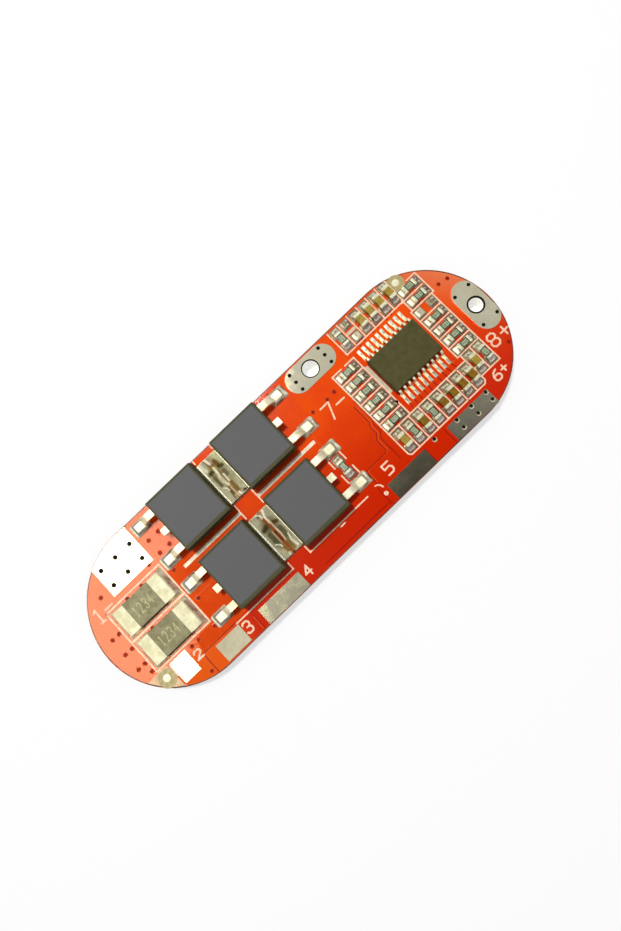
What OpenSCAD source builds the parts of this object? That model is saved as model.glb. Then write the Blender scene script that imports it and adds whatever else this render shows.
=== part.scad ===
// Battery management board for a pack of three cells in series.
//
// A flat board with round ends carries, from left to right: two current
// shunts side by side, four power transistors in two rows whose drain tabs
// face each other, and a 20-lead controller ringed by chip resistors and
// chip capacitors. Wires are soldered to tinned pads along the edges and
// through two plated holes.
//
// Frame: the origin is the middle of the underside, +X points to the
// P+ end, +Y to the long edge with the P- and B- pads, and +Z out of the
// side that carries the parts. All sizes are in millimetres.

/* [Board] */
// Length over both round ends
board_l = 54; // [54:0.5:70]
// Width, which is also the diameter of the round ends
board_w = 17.8; // [17.8:0.1:22]
// Thickness of the laminate with its copper and its mask
board_t = 1.6; // [0.8:0.1:2.4]
// Thickness of a tinned land
land_t = 0.07; // [0.04:0.01:0.12]
// Bare margin between a land and the edge of the board
edge_gap = 0.1; // [0.05:0.05:0.3]

/* [Plated holes] */
// Bore of the P- and P+ holes after plating
wire_bore = 1.9; // [1.2:0.1:2]
// Bore of a small plated through hole
via_bore = 0.36; // [0.2:0.02:0.5]
// Wall of the plating inside a via
plating_t = 0.08; // [0.04:0.01:0.12]
// Wall of the tinned lining inside a wire hole
lining_t = 0.17; // [0.16:0.01:0.2]
// Width of the copper ring round a via on the underside
via_ring = 0.2; // [0.1:0.05:0.3]

/* [P- terminal] */
// Length of the pad, along the board
p_minus_l = 6.3; // [6:0.1:6.6]
// Width of the pad
p_minus_w = 2.9; // [2.7:0.05:3]
// Gap between the pad and the transistors' lead lands
p_minus_gap = 0.3; // [0.2:0.05:0.5]
// Gap between the pad and the long edge
p_minus_edge_gap = 0.23; // [0.15:0.01:0.4]
// Spacing of its vias along the pad
p_minus_via_x = 4.15; // [3.6:0.05:4.4]
// Spacing of its vias across the pad
p_minus_via_y = 1; // [0.8:0.05:1.05]

/* [P+ terminal] */
// Length of the pad, across the board
p_plus_l = 6.05; // [5.8:0.05:6.6]
// Width of the pad
p_plus_w = 2.9; // [2.7:0.05:3]
// Middle of the hole from the end of the board
p_plus_inset = 1.65; // [1.6:0.05:1.9]
// Spacing of its vias along the board
p_plus_via_x = 1.95; // [1.7:0.05:2]
// Spacing of its vias across the board
p_plus_via_y = 4.1; // [3.4:0.1:4.2]

/* [Wire pads] */
// Length of the B- pad
b_minus_l = 5.45; // [5:0.05:5.6]
// Width of the B- pad, from the long edge inwards
b_minus_w = 4.68; // [4.4:0.02:4.8]
// Gap between the B- pad and the transistors' lead lands
b_minus_gap = 0.3; // [0.2:0.05:0.5]
// Spacing of the B- vias, both ways
b_minus_via_pitch = 2; // [1.6:0.1:2.1]
// Outer row of the B- vias from the long edge
b_minus_via_edge = 1.78; // [1.7:0.02:1.9]
// Width of the pads B1, B2 and B+, from the long edge inwards
edge_pad_w = 1.85; // [1.6:0.05:1.95]
// Length of the B1 pad
b1_l = 5.6; // [5:0.1:5.8]
// Middle of the B1 pad right of the left transistors' middle
b1_dx = 0.45; // [0.2:0.05:0.6]
// Length of the B2 pad
b2_l = 5.3; // [5:0.1:5.8]
// Middle of the B2 pad left of the P- hole
b2_dx = 0.2; // [0:0.05:0.4]
// Length of the B+ pad
b_plus_l = 5.7; // [5.4:0.1:5.8]
// Middle of the B+ pad right of the controller's middle
b_plus_dx = 0.75; // [0.6:0.05:0.9]
// Spacing of the B+ vias along the pad
b_plus_via_x = 2.05; // [1.8:0.05:2.2]
// Spacing of the B+ vias across the pad
b_plus_via_y = 1; // [0.8:0.05:1.1]
// Middle of the B+ vias from the middle of the pad, along it
b_plus_via_dx = 0.5; // [0.2:0.05:0.5]
// Middle of the B+ vias from the long edge
b_plus_via_edge = 1.27; // [1.2:0.01:1.3]
// Length of the B pad
b_l = 3.15; // [2.8:0.05:3.4]
// Width of the B pad
b_w = 2.05; // [1.8:0.05:2.1]
// Middle of the B pad left of the middle of the left lead lands
b_dx = 0.97; // [0.8:0.01:1.1]
// Margin between the B pad and the long edge
b_edge_gap = 0.27; // [0.2:0.01:0.35]
// Length of the A pad, along the board
a_l = 2.1; // [1.8:0.05:2.2]
// Width of the A pad
a_w = 2.55; // [2.2:0.05:2.6]
// Middle of the A pad from the left end
a_inset = 5.35; // [5.3:0.05:5.6]
// Middle of the A pad from the lower long edge
a_edge = 2.98; // [2.9:0.02:3.1]

/* [Fiducials] */
// Diameter of a bare copper fiducial dot
fiducial_d = 0.8; // [0.6:0.1:1]
// Left dot, from the left end
fiducial_left_inset = 3.2; // [3:0.1:3.3]
// Left dot, from the lower long edge
fiducial_left_edge = 3.42; // [3.3:0.02:3.6]
// Right dot, from the right end
fiducial_right_inset = 5.85; // [5.8:0.05:6.1]
// Right dot, from the upper long edge
fiducial_right_edge = 1.38; // [1.3:0.02:1.6]

/* [Transistors] */
// Moulded body, along its leads
fet_l = 6.2; // [6:0.02:6.22]
// Moulded body, across its leads
fet_w = 6.6; // [6.4:0.05:6.7]
// Height of the body
fet_h = 2.3; // [2.18:0.02:2.4]
// Draft of the moulded sides
fet_draft = 8; // [4:1:12]
// Rounding of the body's upright corners
fet_corner = 0.35; // [0.2:0.05:0.5]
// Thickness of the lead frame
fet_frame_t = 0.5; // [0.45:0.01:0.58]
// Spacing of neighbouring leads
fet_lead_pitch = 2.29; // [2.2:0.01:2.3]
// Width of an outer lead
fet_lead_w = 0.76; // [0.64:0.02:0.88]
// Underside of a lead where it leaves the body
fet_lead_z = 0.9; // [0.8:0.05:1]
// Reach of an outer lead past the body
fet_lead_reach = 2.7; // [2.6:0.05:2.8]
// Straight part of an outer lead before its bend
fet_lead_straight = 0.75; // [0.6:0.05:0.8]
// Slope of a lead between its bends
fet_lead_slope = 60; // [55:1:75]
// Inner radius of a lead's bends
fet_bend_r = 0.25; // [0.15:0.05:0.3]
// Stub of the cut middle lead past the body
fet_stub_reach = 0.75; // [0.6:0.05:0.9]
// Width of the drain tab
fet_tab_w = 5.3; // [5:0.05:5.4]
// Reach of the drain tab past the body
fet_tab_reach = 1; // [0.9:0.05:1.1]
// Gap between facing tabs
fet_tab_gap = 0.6; // [0.5:0.05:0.7]
// Gap between the upper bodies and the long edge
fet_edge_gap = 0.33; // [0.2:0.01:0.4]
// Gap between the two rows of bodies
fet_row_gap = 1.25; // [1.1:0.05:1.3]
// Seam of mask between two drain lands
drain_seam = 0.14; // [0.1:0.02:0.2]
// Margin of a drain land past the sides of the tab
drain_margin = 0.15; // [0.1:0.05:0.25]
// Part of a drain land that lies under the body
drain_under = 4; // [3:0.1:4.6]
// Length of a lead's land
lead_land_l = 2.05; // [1.9:0.05:2.2]
// Width of a lead's land
lead_land_w = 1.5; // [1.3:0.05:1.6]
// Part of a lead's land past the tip of the lead
lead_land_toe = 0.6; // [0.4:0.05:0.7]

/* [Shunts] */
// Length of a shunt over its terminals
shunt_l = 6.3; // [6:0.05:6.4]
// Width of a shunt
shunt_w = 3; // [2.9:0.05:3.2]
// Height of a shunt
shunt_h = 0.65; // [0.5:0.05:0.9]
// Length of a folded terminal
shunt_terminal_l = 1.45; // [1.2:0.05:1.6]
// Thickness of the terminal sheet
shunt_sheet_t = 0.12; // [0.08:0.01:0.16]
// Outer radius of the terminal's folds
shunt_fold_r = 0.2; // [0.17:0.01:0.22]
// Gap between the left end and the shunts' lands
shunt_end_gap = 3.12; // [3:0.02:3.3]
// Gap between the lands of the two shunts
shunt_row_gap = 0.4; // [0.3:0.05:0.5]
// Gap between the lower shunt's lands and the A pad
shunt_pad_gap = 0.45; // [0.3:0.05:0.5]
// Gap between the shunts' lands and the transistors' lead lands
shunt_fet_gap = 0.37; // [0.3:0.01:0.5]
// Length of a shunt's land
shunt_land_l = 1.75; // [1.6:0.05:1.9]
// Margin of a shunt's land past its end
shunt_land_toe = 0.33; // [0.25:0.01:0.4]
// Margin of a shunt's land past its sides
shunt_land_side = 0.25; // [0.15:0.05:0.35]

/* [Controller] */
// Leads on each long side
ic_leads = 10; // [8:1:10]
// Spacing of the leads
ic_pitch = 0.65; // [0.6:0.01:0.65]
// Moulded body, along the rows of leads
ic_l = 6.5; // [6.4:0.05:6.6]
// Moulded body, across the rows of leads
ic_w = 4.4; // [4.3:0.05:4.5]
// Height of the moulding
ic_h = 1; // [0.8:0.05:1.05]
// Gap under the moulding
ic_standoff = 0.1; // [0.05:0.05:0.15]
// Draft of the moulded sides
ic_draft = 10; // [4:1:12]
// Width of a lead
ic_lead_w = 0.24; // [0.19:0.01:0.3]
// Thickness of a lead
ic_lead_t = 0.15; // [0.1:0.01:0.18]
// Reach of a lead past the body
ic_lead_reach = 1; // [0.95:0.05:1.1]
// Straight part of a lead before its bend
ic_lead_straight = 0.15; // [0.1:0.05:0.2]
// Slope of a lead between its bends
ic_lead_slope = 75; // [65:1:80]
// Inner radius of a lead's bends
ic_bend_r = 0.1; // [0.06:0.01:0.12]
// Diameter of the dimple beside the first lead
ic_dimple_d = 0.7; // [0.5:0.05:0.9]
// Depth of that dimple
ic_dimple_t = 0.06; // [0.04:0.01:0.1]
// Dimple's middle from the two nearest sides of the body
ic_dimple_inset = 0.75; // [0.7:0.05:0.9]
// Length of a lead's land
ic_land_l = 1.25; // [1.1:0.05:1.3]
// Width of a lead's land
ic_land_w = 0.34; // [0.3:0.01:0.4]
// Part of the land past the tip of the lead
ic_land_toe = 0.62; // [0.5:0.02:0.65]

/* [Chip parts] */
// Length of a chip part
chip_l = 1.6; // [1.5:0.05:1.65]
// Width of a chip part
chip_w = 0.8; // [0.75:0.01:0.85]
// Height of a chip resistor
resistor_h = 0.45; // [0.35:0.05:0.55]
// Height of a chip capacitor
capacitor_h = 0.8; // [0.7:0.05:0.85]
// Length of a metal end on a resistor
resistor_end = 0.3; // [0.2:0.05:0.4]
// Length of a metal end on a capacitor
capacitor_end = 0.36; // [0.25:0.01:0.45]
// Thickness of a metal end
end_t = 0.03; // [0.02:0.005:0.04]
// Rounding of a metal end
end_r = 0.07; // [0.04:0.01:0.1]
// Spacing of neighbouring chip parts
chip_pitch = 1.375; // [1.35:0.005:1.4]
// Length of a chip land
chip_land_l = 1; // [0.9:0.05:1.05]
// Width of a chip land
chip_land_w = 1; // [0.9:0.05:1.05]
// Part of a chip land past the end of the chip
chip_land_toe = 0.57; // [0.45:0.01:0.6]
// Gap between the left column and the controller's body
left_gap = 0.63; // [0.6:0.01:0.7]
// Gap between the left column's lowest land and the bottom row's lands
left_foot_gap = 0.34; // [0.3:0.01:0.4]
// Gap between the right column and the controller's body
right_gap = 0.72; // [0.65:0.01:0.75]
// Gap between the right column's lowest land and the corner pair's lands
right_foot_gap = 0.22; // [0.2:0.01:0.3]
// Gap between the right column and the P+ pad
right_end_gap = 0.99; // [0.95:0.01:1.1]
// Step of the two upper parts of the right column
right_step = 0.28; // [0.2:0.01:0.3]
// Gap between the top row and the controller's lands
top_gap = 0.7; // [0.65:0.01:0.75]
// Top row's middle right of the controller's
top_mid_x = 0.17; // [0.15:0.01:0.2]
// Gap between the bottom row and the controller's lands
bottom_gap = 0.98; // [0.9:0.01:1]
// Bottom row's middle left of the controller's
bottom_mid_x = 1.25; // [1.2:0.01:1.3]
// Gap between the bottom row's lands and the B+ pad
bottom_pad_gap = 0.68; // [0.6:0.01:0.8]
// Corner pair's middle right of the right column's
corner_dx = 0.15; // [0.1:0.01:0.2]
// Corner pair's middle above the bottom row's
corner_dy = 0.75; // [0.72:0.01:0.8]
// Gate resistor's middle from the upright centre line of the lead lands
gate_dx = 0.2; // [0.15:0.01:0.25]

/* [Solder] */
// Rise of the solder up a transistor's lead
lead_solder_h = 0.4; // [0.3:0.01:0.45]
// Rise of the solder up a drain tab
tab_solder_h = 0.42; // [0.3:0.01:0.45]
// Rise of the solder up a shunt
shunt_solder_h = 0.42; // [0.3:0.01:0.45]
// Rise of the solder up a chip resistor
resistor_solder_h = 0.32; // [0.25:0.01:0.34]
// Rise of the solder up a chip capacitor
capacitor_solder_h = 0.45; // [0.3:0.01:0.6]
// Rise of the solder in front of a controller lead
ic_solder_h = 0.1; // [0.06:0.01:0.1]

/* [Hidden] */
$fn = 48;
// Overlap that lets a cut run clean through a face
eps = 0.01;
// Steps in a bend and in a solder fillet
bend_steps = 4;
fillet_steps = 5;

half_l = board_l / 2;
half_w = board_w / 2;
seat_z = board_t + land_t;
edge_pad_y = -half_w + edge_gap + edge_pad_w / 2;

// The A pad and the shunts are set out from the left end and the lower edge
a_x = -half_l + a_inset;
a_y = -half_w + a_edge;
shunt_reach = shunt_l / 2 + shunt_land_toe;
shunt_land_w = shunt_w + 2 * shunt_land_side;
shunt_x = -half_l + shunt_end_gap + shunt_reach;
shunt_lower_y = a_y + a_w / 2 + shunt_pad_gap + shunt_land_w / 2;
shunt_upper_y = shunt_lower_y + shunt_land_w + shunt_row_gap;

// The transistors follow the shunts and hang from the upper edge
fet_tip_x = fet_l / 2 + fet_lead_reach;
lead_land_x = fet_tip_x + lead_land_toe - lead_land_l / 2;
fet_reach = fet_tip_x + lead_land_toe;
fet_dx = fet_tab_gap / 2 + fet_tab_reach + fet_l / 2;
fet_left_x = shunt_x + shunt_reach + shunt_fet_gap + fet_reach;
fet_right_x = fet_left_x + 2 * fet_dx;
fet_upper_y = half_w - fet_edge_gap - fet_w / 2;
fet_lower_y = fet_upper_y - fet_w - fet_row_gap;
drain_end_x = fet_dx - drain_seam / 2;
drain_land_w = fet_tab_w + 2 * drain_margin;

// From the right end inwards: the P+ pad, the right column, the controller
// and the left column. From the lower edge up: the B+ pad, the bottom row,
// the controller and the top row.
left_n = 6;
right_n = 7;
top_n = 6;
bottom_n = 8;
corner_n = 2;
chip_reach = chip_l / 2 + chip_land_toe;
p_plus_x = half_l - p_plus_inset;
ic_tip_y = ic_w / 2 + ic_lead_reach;
ic_reach = ic_tip_y + ic_land_toe;
ic_land_y = ic_reach - ic_land_l / 2;
ic_lead_z = ic_standoff + ic_h / 2 - ic_lead_t / 2;
right_x = p_plus_x - p_plus_w / 2 - right_end_gap - chip_reach;
ic_x = right_x - chip_reach - right_gap - ic_l / 2;
left_x = ic_x - ic_l / 2 - left_gap - chip_reach;
bottom_y = edge_pad_y + edge_pad_w / 2 + bottom_pad_gap + chip_reach;
ic_y = bottom_y + chip_reach + bottom_gap + ic_reach;
top_y = ic_y + ic_reach + top_gap + chip_reach;
left_y = bottom_y + chip_reach + left_foot_gap + chip_land_w / 2;
corner_x = right_x + corner_dx;
corner_y = bottom_y + corner_dy;
right_y = corner_y + chip_reach + right_foot_gap + chip_land_w / 2;
gate_x = fet_right_x + lead_land_x - gate_dx;

// Places of the rows of chip parts: [x, y, turn], turned 90 when upright
function along(i, n) = (i - (n - 1) / 2) * chip_pitch;
function left_spot(i) = [left_x, left_y + (left_n - 1 - i) * chip_pitch, 0];
function right_spot(i) =
    [right_x + (i < 2 ? right_step : 0), right_y + (right_n - 1 - i) * chip_pitch, 0];
function top_spot(i) = [ic_x + top_mid_x + along(i, top_n), top_y, 90];
function bottom_spot(i) = [ic_x - bottom_mid_x + along(i, bottom_n), bottom_y, 90];
function corner_spot(i) = [corner_x + along(i, corner_n), corner_y, 90];
gate_spot = [gate_x, fet_lower_y, 90];

// The footprints left without a part, and which of the others hold what
empty_spots = [right_spot(2), top_spot(1)];
resistor_spots = concat(
    [for (i = [0:left_n - 1]) left_spot(i)],
    [for (i = [0, 1, 3, 4, 5, 6]) right_spot(i)],
    [top_spot(0), bottom_spot(1), bottom_spot(3), corner_spot(1), gate_spot]);
capacitor_spots = concat(
    [for (i = [2:top_n - 1]) top_spot(i)],
    [for (i = [0, 2, 4, 5, 6, 7]) bottom_spot(i)],
    [corner_spot(0)]);
chip_spots = concat(resistor_spots, capacitor_spots);

fet_spots = [
    [fet_left_x, fet_upper_y, 180], [fet_right_x, fet_upper_y, 0],
    [fet_left_x, fet_lower_y, 180], [fet_right_x, fet_lower_y, 0]];
shunt_spots = [[shunt_x, shunt_upper_y, 0], [shunt_x, shunt_lower_y, 0]];

// ---- Shared shapes ----

// Rectangle with true round corners, centred
module rounded_plan(l, w, r) {
    square([l - 2 * r, w], center = true);
    square([l, w - 2 * r], center = true);
    for (sx = [-1, 1], sy = [-1, 1])
        translate([sx * (l / 2 - r), sy * (w / 2 - r)]) circle(r);
}

// Outline of the board, drawn in by a margin
module board_plan(margin = 0) {
    square([board_l - board_w, board_w - 2 * margin], center = true);
    for (side = [-1, 1])
        translate([side * (half_l - half_w), 0]) circle(half_w - margin);
}

// Puts its children at a spot [x, y, turn]
module at(spot, z = 0) {
    translate([spot[0], spot[1], z]) rotate([0, 0, spot[2]]) children();
}

// A side profile in X and Z, made w wide across Y and centred
module across(w) {
    translate([0, w / 2, 0]) rotate([90, 0, 0]) linear_extrude(w) children();
}

// A flat land on the mask, from a plan
module land() {
    translate([0, 0, board_t]) linear_extrude(land_t) children();
}

function arc(cx, cz, r, a0, a1) =
    [for (i = [0:bend_steps])
        let (a = a0 + (a1 - a0) * i / bend_steps) [cx + r * cos(a), cz + r * sin(a)]];

// Side profile of a lead bent down and out to a flat foot: it starts inside
// the body at -root, leaves it at 0 at height z, and ends at reach.
function lead_profile(root, straight, reach, z, t, r, slope) =
    let (
        mid_r = r + t / 2,
        fall = (z - t - 2 * r + 2 * mid_r * cos(slope)) / sin(slope),
        foot_x = straight + 2 * mid_r * sin(slope) + fall * cos(slope))
    concat(
        [[-root, z + t]],
        arc(straight, z - r, r + t, 90, 90 - slope),
        arc(foot_x, t + r, r, 270 - slope, 270),
        [[reach, t], [reach, 0]],
        arc(foot_x, t + r, r + t, 270, 270 - slope),
        arc(straight, z - r, r, 90 - slope, 90),
        [[-root, z]]);

// One side of a moulding between its two faces, widest at the parting line
function moulding_profile(l, z0, parting, z1, draft) =
    let (low = (parting - z0) * tan(draft), high = (z1 - parting) * tan(draft))
    [[-l / 2 + low, z0], [l / 2 - low, z0], [l / 2, parting],
     [l / 2 - high, z1], [-l / 2 + high, z1], [-l / 2, parting]];

// Moulded block with draft on all sides and round upright corners
module moulding(l, w, z0, parting, z1, draft, corner) {
    intersection() {
        across(w + 2 * eps) polygon(moulding_profile(l, z0, parting, z1, draft));
        rotate([0, 0, 90]) across(l + 2 * eps)
            polygon(moulding_profile(w, z0, parting, z1, draft));
        translate([0, 0, z0 - eps]) linear_extrude(z1 - z0 + 2 * eps)
            rounded_plan(l, w, corner);
    }
}

// Hollow flank of solder from height h at 0 down to nothing at run
function flank(run, h) =
    [for (i = [0:fillet_steps])
        let (a = 90 * i / fillet_steps) [run * (1 - cos(a)), h * (1 - sin(a))]];
// Both flanks of a mound of half width core and foot width side
function mound(core, side, h) =
    let (right = [for (p = flank(side, h)) [core + p[0], p[1]]])
    concat(right, [for (i = [len(right) - 1:-1:0]) [-right[i][0], right[i][1]]]);

// Solder drawn up the end of a part: it rises to h at X = 0, runs out to
// toe, and is w wide at its top and w + 2 side at its foot
module end_fillet(toe, w, side, h) {
    intersection() {
        across(w + 2 * side + 2 * eps) polygon(concat([[0, 0]], flank(toe, h)));
        rotate([0, 0, 90]) translate([0, -toe / 2, 0])
            across(toe + 2 * eps) polygon(mound(w / 2, side, h));
    }
}

// A plated hole's outside, from face to face of the board
module plated_hole(spot, bore, wall) {
    translate([spot[0], spot[1], 0]) cylinder(d = bore + 2 * wall, h = seat_z);
}

// ---- Pads with plated holes: places of the holes ----

p_minus_x = fet_right_x + fet_reach + p_minus_gap + p_minus_l / 2;
p_minus_y = half_w - p_minus_edge_gap - p_minus_w / 2;
p_minus_vias = [for (sx = [-1, 1], j = [-1, 0, 1])
    [p_minus_x + sx * p_minus_via_x / 2, p_minus_y + j * p_minus_via_y]];
p_plus_vias = [for (sx = [-1, 1], sy = [-1, 1])
    [p_plus_x + sx * p_plus_via_x / 2, sy * p_plus_via_y / 2]];
b_minus_x = fet_left_x - fet_reach - b_minus_gap - b_minus_l / 2;
b_minus_vias = [for (i = [-1, 0, 1], j = [0, 1])
    [b_minus_x + i * b_minus_via_pitch, half_w - b_minus_via_edge - j * b_minus_via_pitch]];
b_plus_x = ic_x + b_plus_dx;
b_plus_vias = [for (i = [-1, 0, 1], sy = [-1, 1])
    [b_plus_x + b_plus_via_dx + i * b_plus_via_x,
     -half_w + b_plus_via_edge + sy * b_plus_via_y / 2]];

// Pad with round ends, l long and w wide
module oblong(l, w) {
    square([l - w, w], center = true);
    for (side = [-1, 1]) translate([side * (l - w) / 2, 0]) circle(d = w);
}

module p_minus_plan() { translate([p_minus_x, p_minus_y]) oblong(p_minus_l, p_minus_w); }

module p_plus_plan() {
    intersection() {
        translate([p_plus_x, 0]) rotate(90) oblong(p_plus_l, p_plus_w);
        board_plan(edge_gap);
    }
}

module b_minus_plan() {
    intersection() {
        translate([b_minus_x, half_w - b_minus_w / 2])
            square([b_minus_l, b_minus_w], center = true);
        board_plan(edge_gap);
    }
}

module b_plus_plan() {
    translate([b_plus_x, edge_pad_y]) square([b_plus_l, edge_pad_w], center = true);
}

// Rings round the vias on the underside
module via_rings(vias) {
    for (v = vias) translate(v) circle(d = via_bore + 2 * plating_t + 2 * via_ring);
}

// Copper of a pad that is plated through, before its holes are drilled. Its
// land stands on the mask, and its underside lies flush with the board's.
module plated_copper(vias) {
    land() children(0);
    linear_extrude(land_t) children(1);
    for (v = vias) plated_hole(v, via_bore, plating_t);
}

module drill(spot, bore) {
    translate([spot[0], spot[1], -eps]) cylinder(d = bore, h = seat_z + 2 * eps);
}

module p_minus_copper() {
    plated_copper(p_minus_vias) { p_minus_plan(); p_minus_plan(); }
    plated_hole([p_minus_x, p_minus_y], wire_bore, lining_t);
}

module p_plus_copper() {
    plated_copper(p_plus_vias) { p_plus_plan(); p_plus_plan(); }
    plated_hole([p_plus_x, 0], wire_bore, lining_t);
}

module b_minus_copper() {
    plated_copper(b_minus_vias) { b_minus_plan(); via_rings(b_minus_vias); }
}

module b_plus_copper() {
    plated_copper(b_plus_vias) { b_plus_plan(); via_rings(b_plus_vias); }
}

// ---- Board and pads ----

module circuit_board() {
    color("orangered") difference() {
        linear_extrude(board_t) board_plan();
        p_minus_copper();
        p_plus_copper();
        b_minus_copper();
        b_plus_copper();
    }
}

module p_minus_terminal() {
    color("lightyellow") difference() {
        p_minus_copper();
        for (v = p_minus_vias) drill(v, via_bore);
        drill([p_minus_x, p_minus_y], wire_bore);
    }
}

module p_plus_terminal() {
    color("lightgray") difference() {
        p_plus_copper();
        for (v = p_plus_vias) drill(v, via_bore);
        drill([p_plus_x, 0], wire_bore);
    }
}

module b_minus_pad() {
    color("white") difference() {
        b_minus_copper();
        for (v = b_minus_vias) drill(v, via_bore);
    }
}

module b_plus_pad() {
    color("dimgray") difference() {
        b_plus_copper();
        for (v = b_plus_vias) drill(v, via_bore);
    }
}

module b1_pad() {
    color("darkgray") land() translate([fet_left_x + b1_dx, edge_pad_y])
        square([b1_l, edge_pad_w], center = true);
}

module b2_pad() {
    color("dimgray") land() translate([p_minus_x - b2_dx, edge_pad_y])
        square([b2_l, edge_pad_w], center = true);
}

module b_pad() {
    x = fet_left_x - lead_land_x - b_dx;
    color("tan") land() translate([x, -half_w + b_edge_gap + b_w / 2])
        square([b_l, b_w], center = true);
}

module a_pad() {
    color("ivory") land() translate([a_x, a_y]) square([a_l, a_w], center = true);
}

module fiducial_dots() {
    color("lightyellow") land() {
        translate([-half_l + fiducial_left_inset, -half_w + fiducial_left_edge])
            circle(d = fiducial_d);
        translate([half_l - fiducial_right_inset, half_w - fiducial_right_edge])
            circle(d = fiducial_d);
    }
}

// ---- Transistors ----

// Heat slug with the drain tab, stepped up inside to the cut middle lead
module drain_slug() {
    tab_end = fet_l / 2 + fet_tab_reach;
    stub_end = fet_l / 2 + fet_stub_reach;
    step_foot = fet_l / 2 - 3 * fet_frame_t;
    step_top = fet_l / 2 - 2 * fet_frame_t;
    lead_top = fet_lead_z + fet_frame_t;
    translate([-tab_end, -fet_tab_w / 2, 0])
        cube([tab_end + step_foot, fet_tab_w, fet_frame_t]);
    across(fet_lead_w) polygon([
        [step_foot - fet_frame_t, 0], [step_foot, 0], [step_top, fet_lead_z],
        [stub_end, fet_lead_z], [stub_end, lead_top],
        [step_top - fet_frame_t, lead_top], [step_foot - fet_frame_t, fet_frame_t]]);
}

// Gate or source lead, held by a root two sheets deep in the body
module fet_lead() {
    translate([fet_l / 2, 0, 0]) across(fet_lead_w) polygon(lead_profile(
        2 * fet_frame_t, fet_lead_straight, fet_lead_reach, fet_lead_z,
        fet_frame_t, fet_bend_r, fet_lead_slope));
}

module lead_frame() {
    drain_slug();
    for (side = [-1, 1]) translate([0, side * fet_lead_pitch, 0]) fet_lead();
}

module transistor_body(spot) {
    color("darkslategray") at(spot, seat_z) difference() {
        moulding(fet_l, fet_w, 0, fet_lead_z + fet_frame_t / 2, fet_h,
            fet_draft, fet_corner);
        lead_frame();
    }
}

module transistor_lead_frame(spot) {
    color("cornsilk") at(spot, seat_z) lead_frame();
}

module lead_land_plan() {
    translate([lead_land_x, 0]) rounded_plan(lead_land_l, lead_land_w, lead_land_w / 6);
}

module transistor_lands() {
    color("lightgray") for (spot = fet_spots) at(spot) land() {
        translate([-drain_end_x, -drain_land_w / 2])
            square([drain_end_x - fet_l / 2 + drain_under, drain_land_w]);
        for (side = [-1, 1]) translate([0, side * fet_lead_pitch]) lead_land_plan();
    }
}

// Solder that hugs the foot of an outer lead on all sides
module lead_solder() {
    toe = flank(lead_land_toe, lead_solder_h);
    side = (lead_land_w - fet_lead_w) / 2;
    heel_x = fet_tip_x + lead_land_toe - lead_land_l;
    difference() {
        intersection() {
            across(lead_land_w) polygon(concat(
                [[heel_x, 0], [heel_x + side, lead_solder_h]],
                [for (i = [0:fillet_steps]) [fet_tip_x + toe[i][0], toe[i][1]]]));
            rotate([0, 0, 90]) translate([0, -fet_tip_x, 0])
                across(2 * lead_land_l) polygon(mound(fet_lead_w / 2, side, lead_solder_h));
        }
        fet_lead();
    }
}

// Solder round the end and the sides of a drain tab
module tab_solder() {
    tab_end = fet_l / 2 + fet_tab_reach;
    run = drain_end_x - tab_end;
    translate([-tab_end, 0, 0]) difference() {
        intersection() {
            across(drain_land_w) polygon(concat(
                [[fet_tab_reach, 0], [fet_tab_reach, tab_solder_h]],
                [for (p = flank(run, tab_solder_h)) [-p[0], p[1]]]));
            rotate([0, 0, 90]) across(2 * (fet_tab_reach + run))
                polygon(mound(fet_tab_w / 2, drain_margin, tab_solder_h));
        }
        translate([0, -fet_tab_w / 2, -eps])
            cube([fet_l, fet_tab_w, fet_frame_t + 2 * eps]);
    }
}

module transistor_solder() {
    color("silver") for (spot = fet_spots) at(spot, seat_z) {
        tab_solder();
        for (side = [-1, 1]) translate([0, side * fet_lead_pitch, 0]) lead_solder();
    }
}

// ---- Shunts ----

// Side profile with its two corners at +X rounded
module fold_profile(l, h, r) {
    square([l - r, h]);
    translate([0, r]) square([l, h - 2 * r]);
    for (z = [r, h - r]) translate([l - r, z]) circle(r);
}

// Flat metal element with its coated middle
module shunt_element(spot) {
    core_h = shunt_h - 2 * shunt_sheet_t;
    coat_l = shunt_l - 2 * shunt_terminal_l;
    color("darkkhaki") at(spot, seat_z) across(shunt_w) {
        for (side = [0, 1]) mirror([side, 0]) translate([0, shunt_sheet_t])
            fold_profile(shunt_l / 2 - shunt_sheet_t, core_h, shunt_fold_r - shunt_sheet_t);
        translate([-coat_l / 2, shunt_sheet_t / 2])
            square([coat_l, shunt_h - shunt_sheet_t / 2]);
    }
}

// Tinned sheet folded round each end of the element
module shunt_terminals(spot) {
    color("ivory") at(spot, seat_z) for (side = [0, 1]) mirror([side, 0, 0])
        translate([shunt_l / 2 - shunt_terminal_l, 0, 0]) across(shunt_w) difference() {
            fold_profile(shunt_terminal_l, shunt_h, shunt_fold_r);
            translate([-eps, shunt_sheet_t]) fold_profile(
                shunt_terminal_l - shunt_sheet_t + eps, shunt_h - 2 * shunt_sheet_t,
                shunt_fold_r - shunt_sheet_t);
        }
}

module shunt_lands() {
    color("lightgray") for (spot = shunt_spots) at(spot) land() for (side = [-1, 1])
        translate([side * (shunt_reach - shunt_land_l / 2), 0])
            square([shunt_land_l, shunt_land_w], center = true);
}

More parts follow.
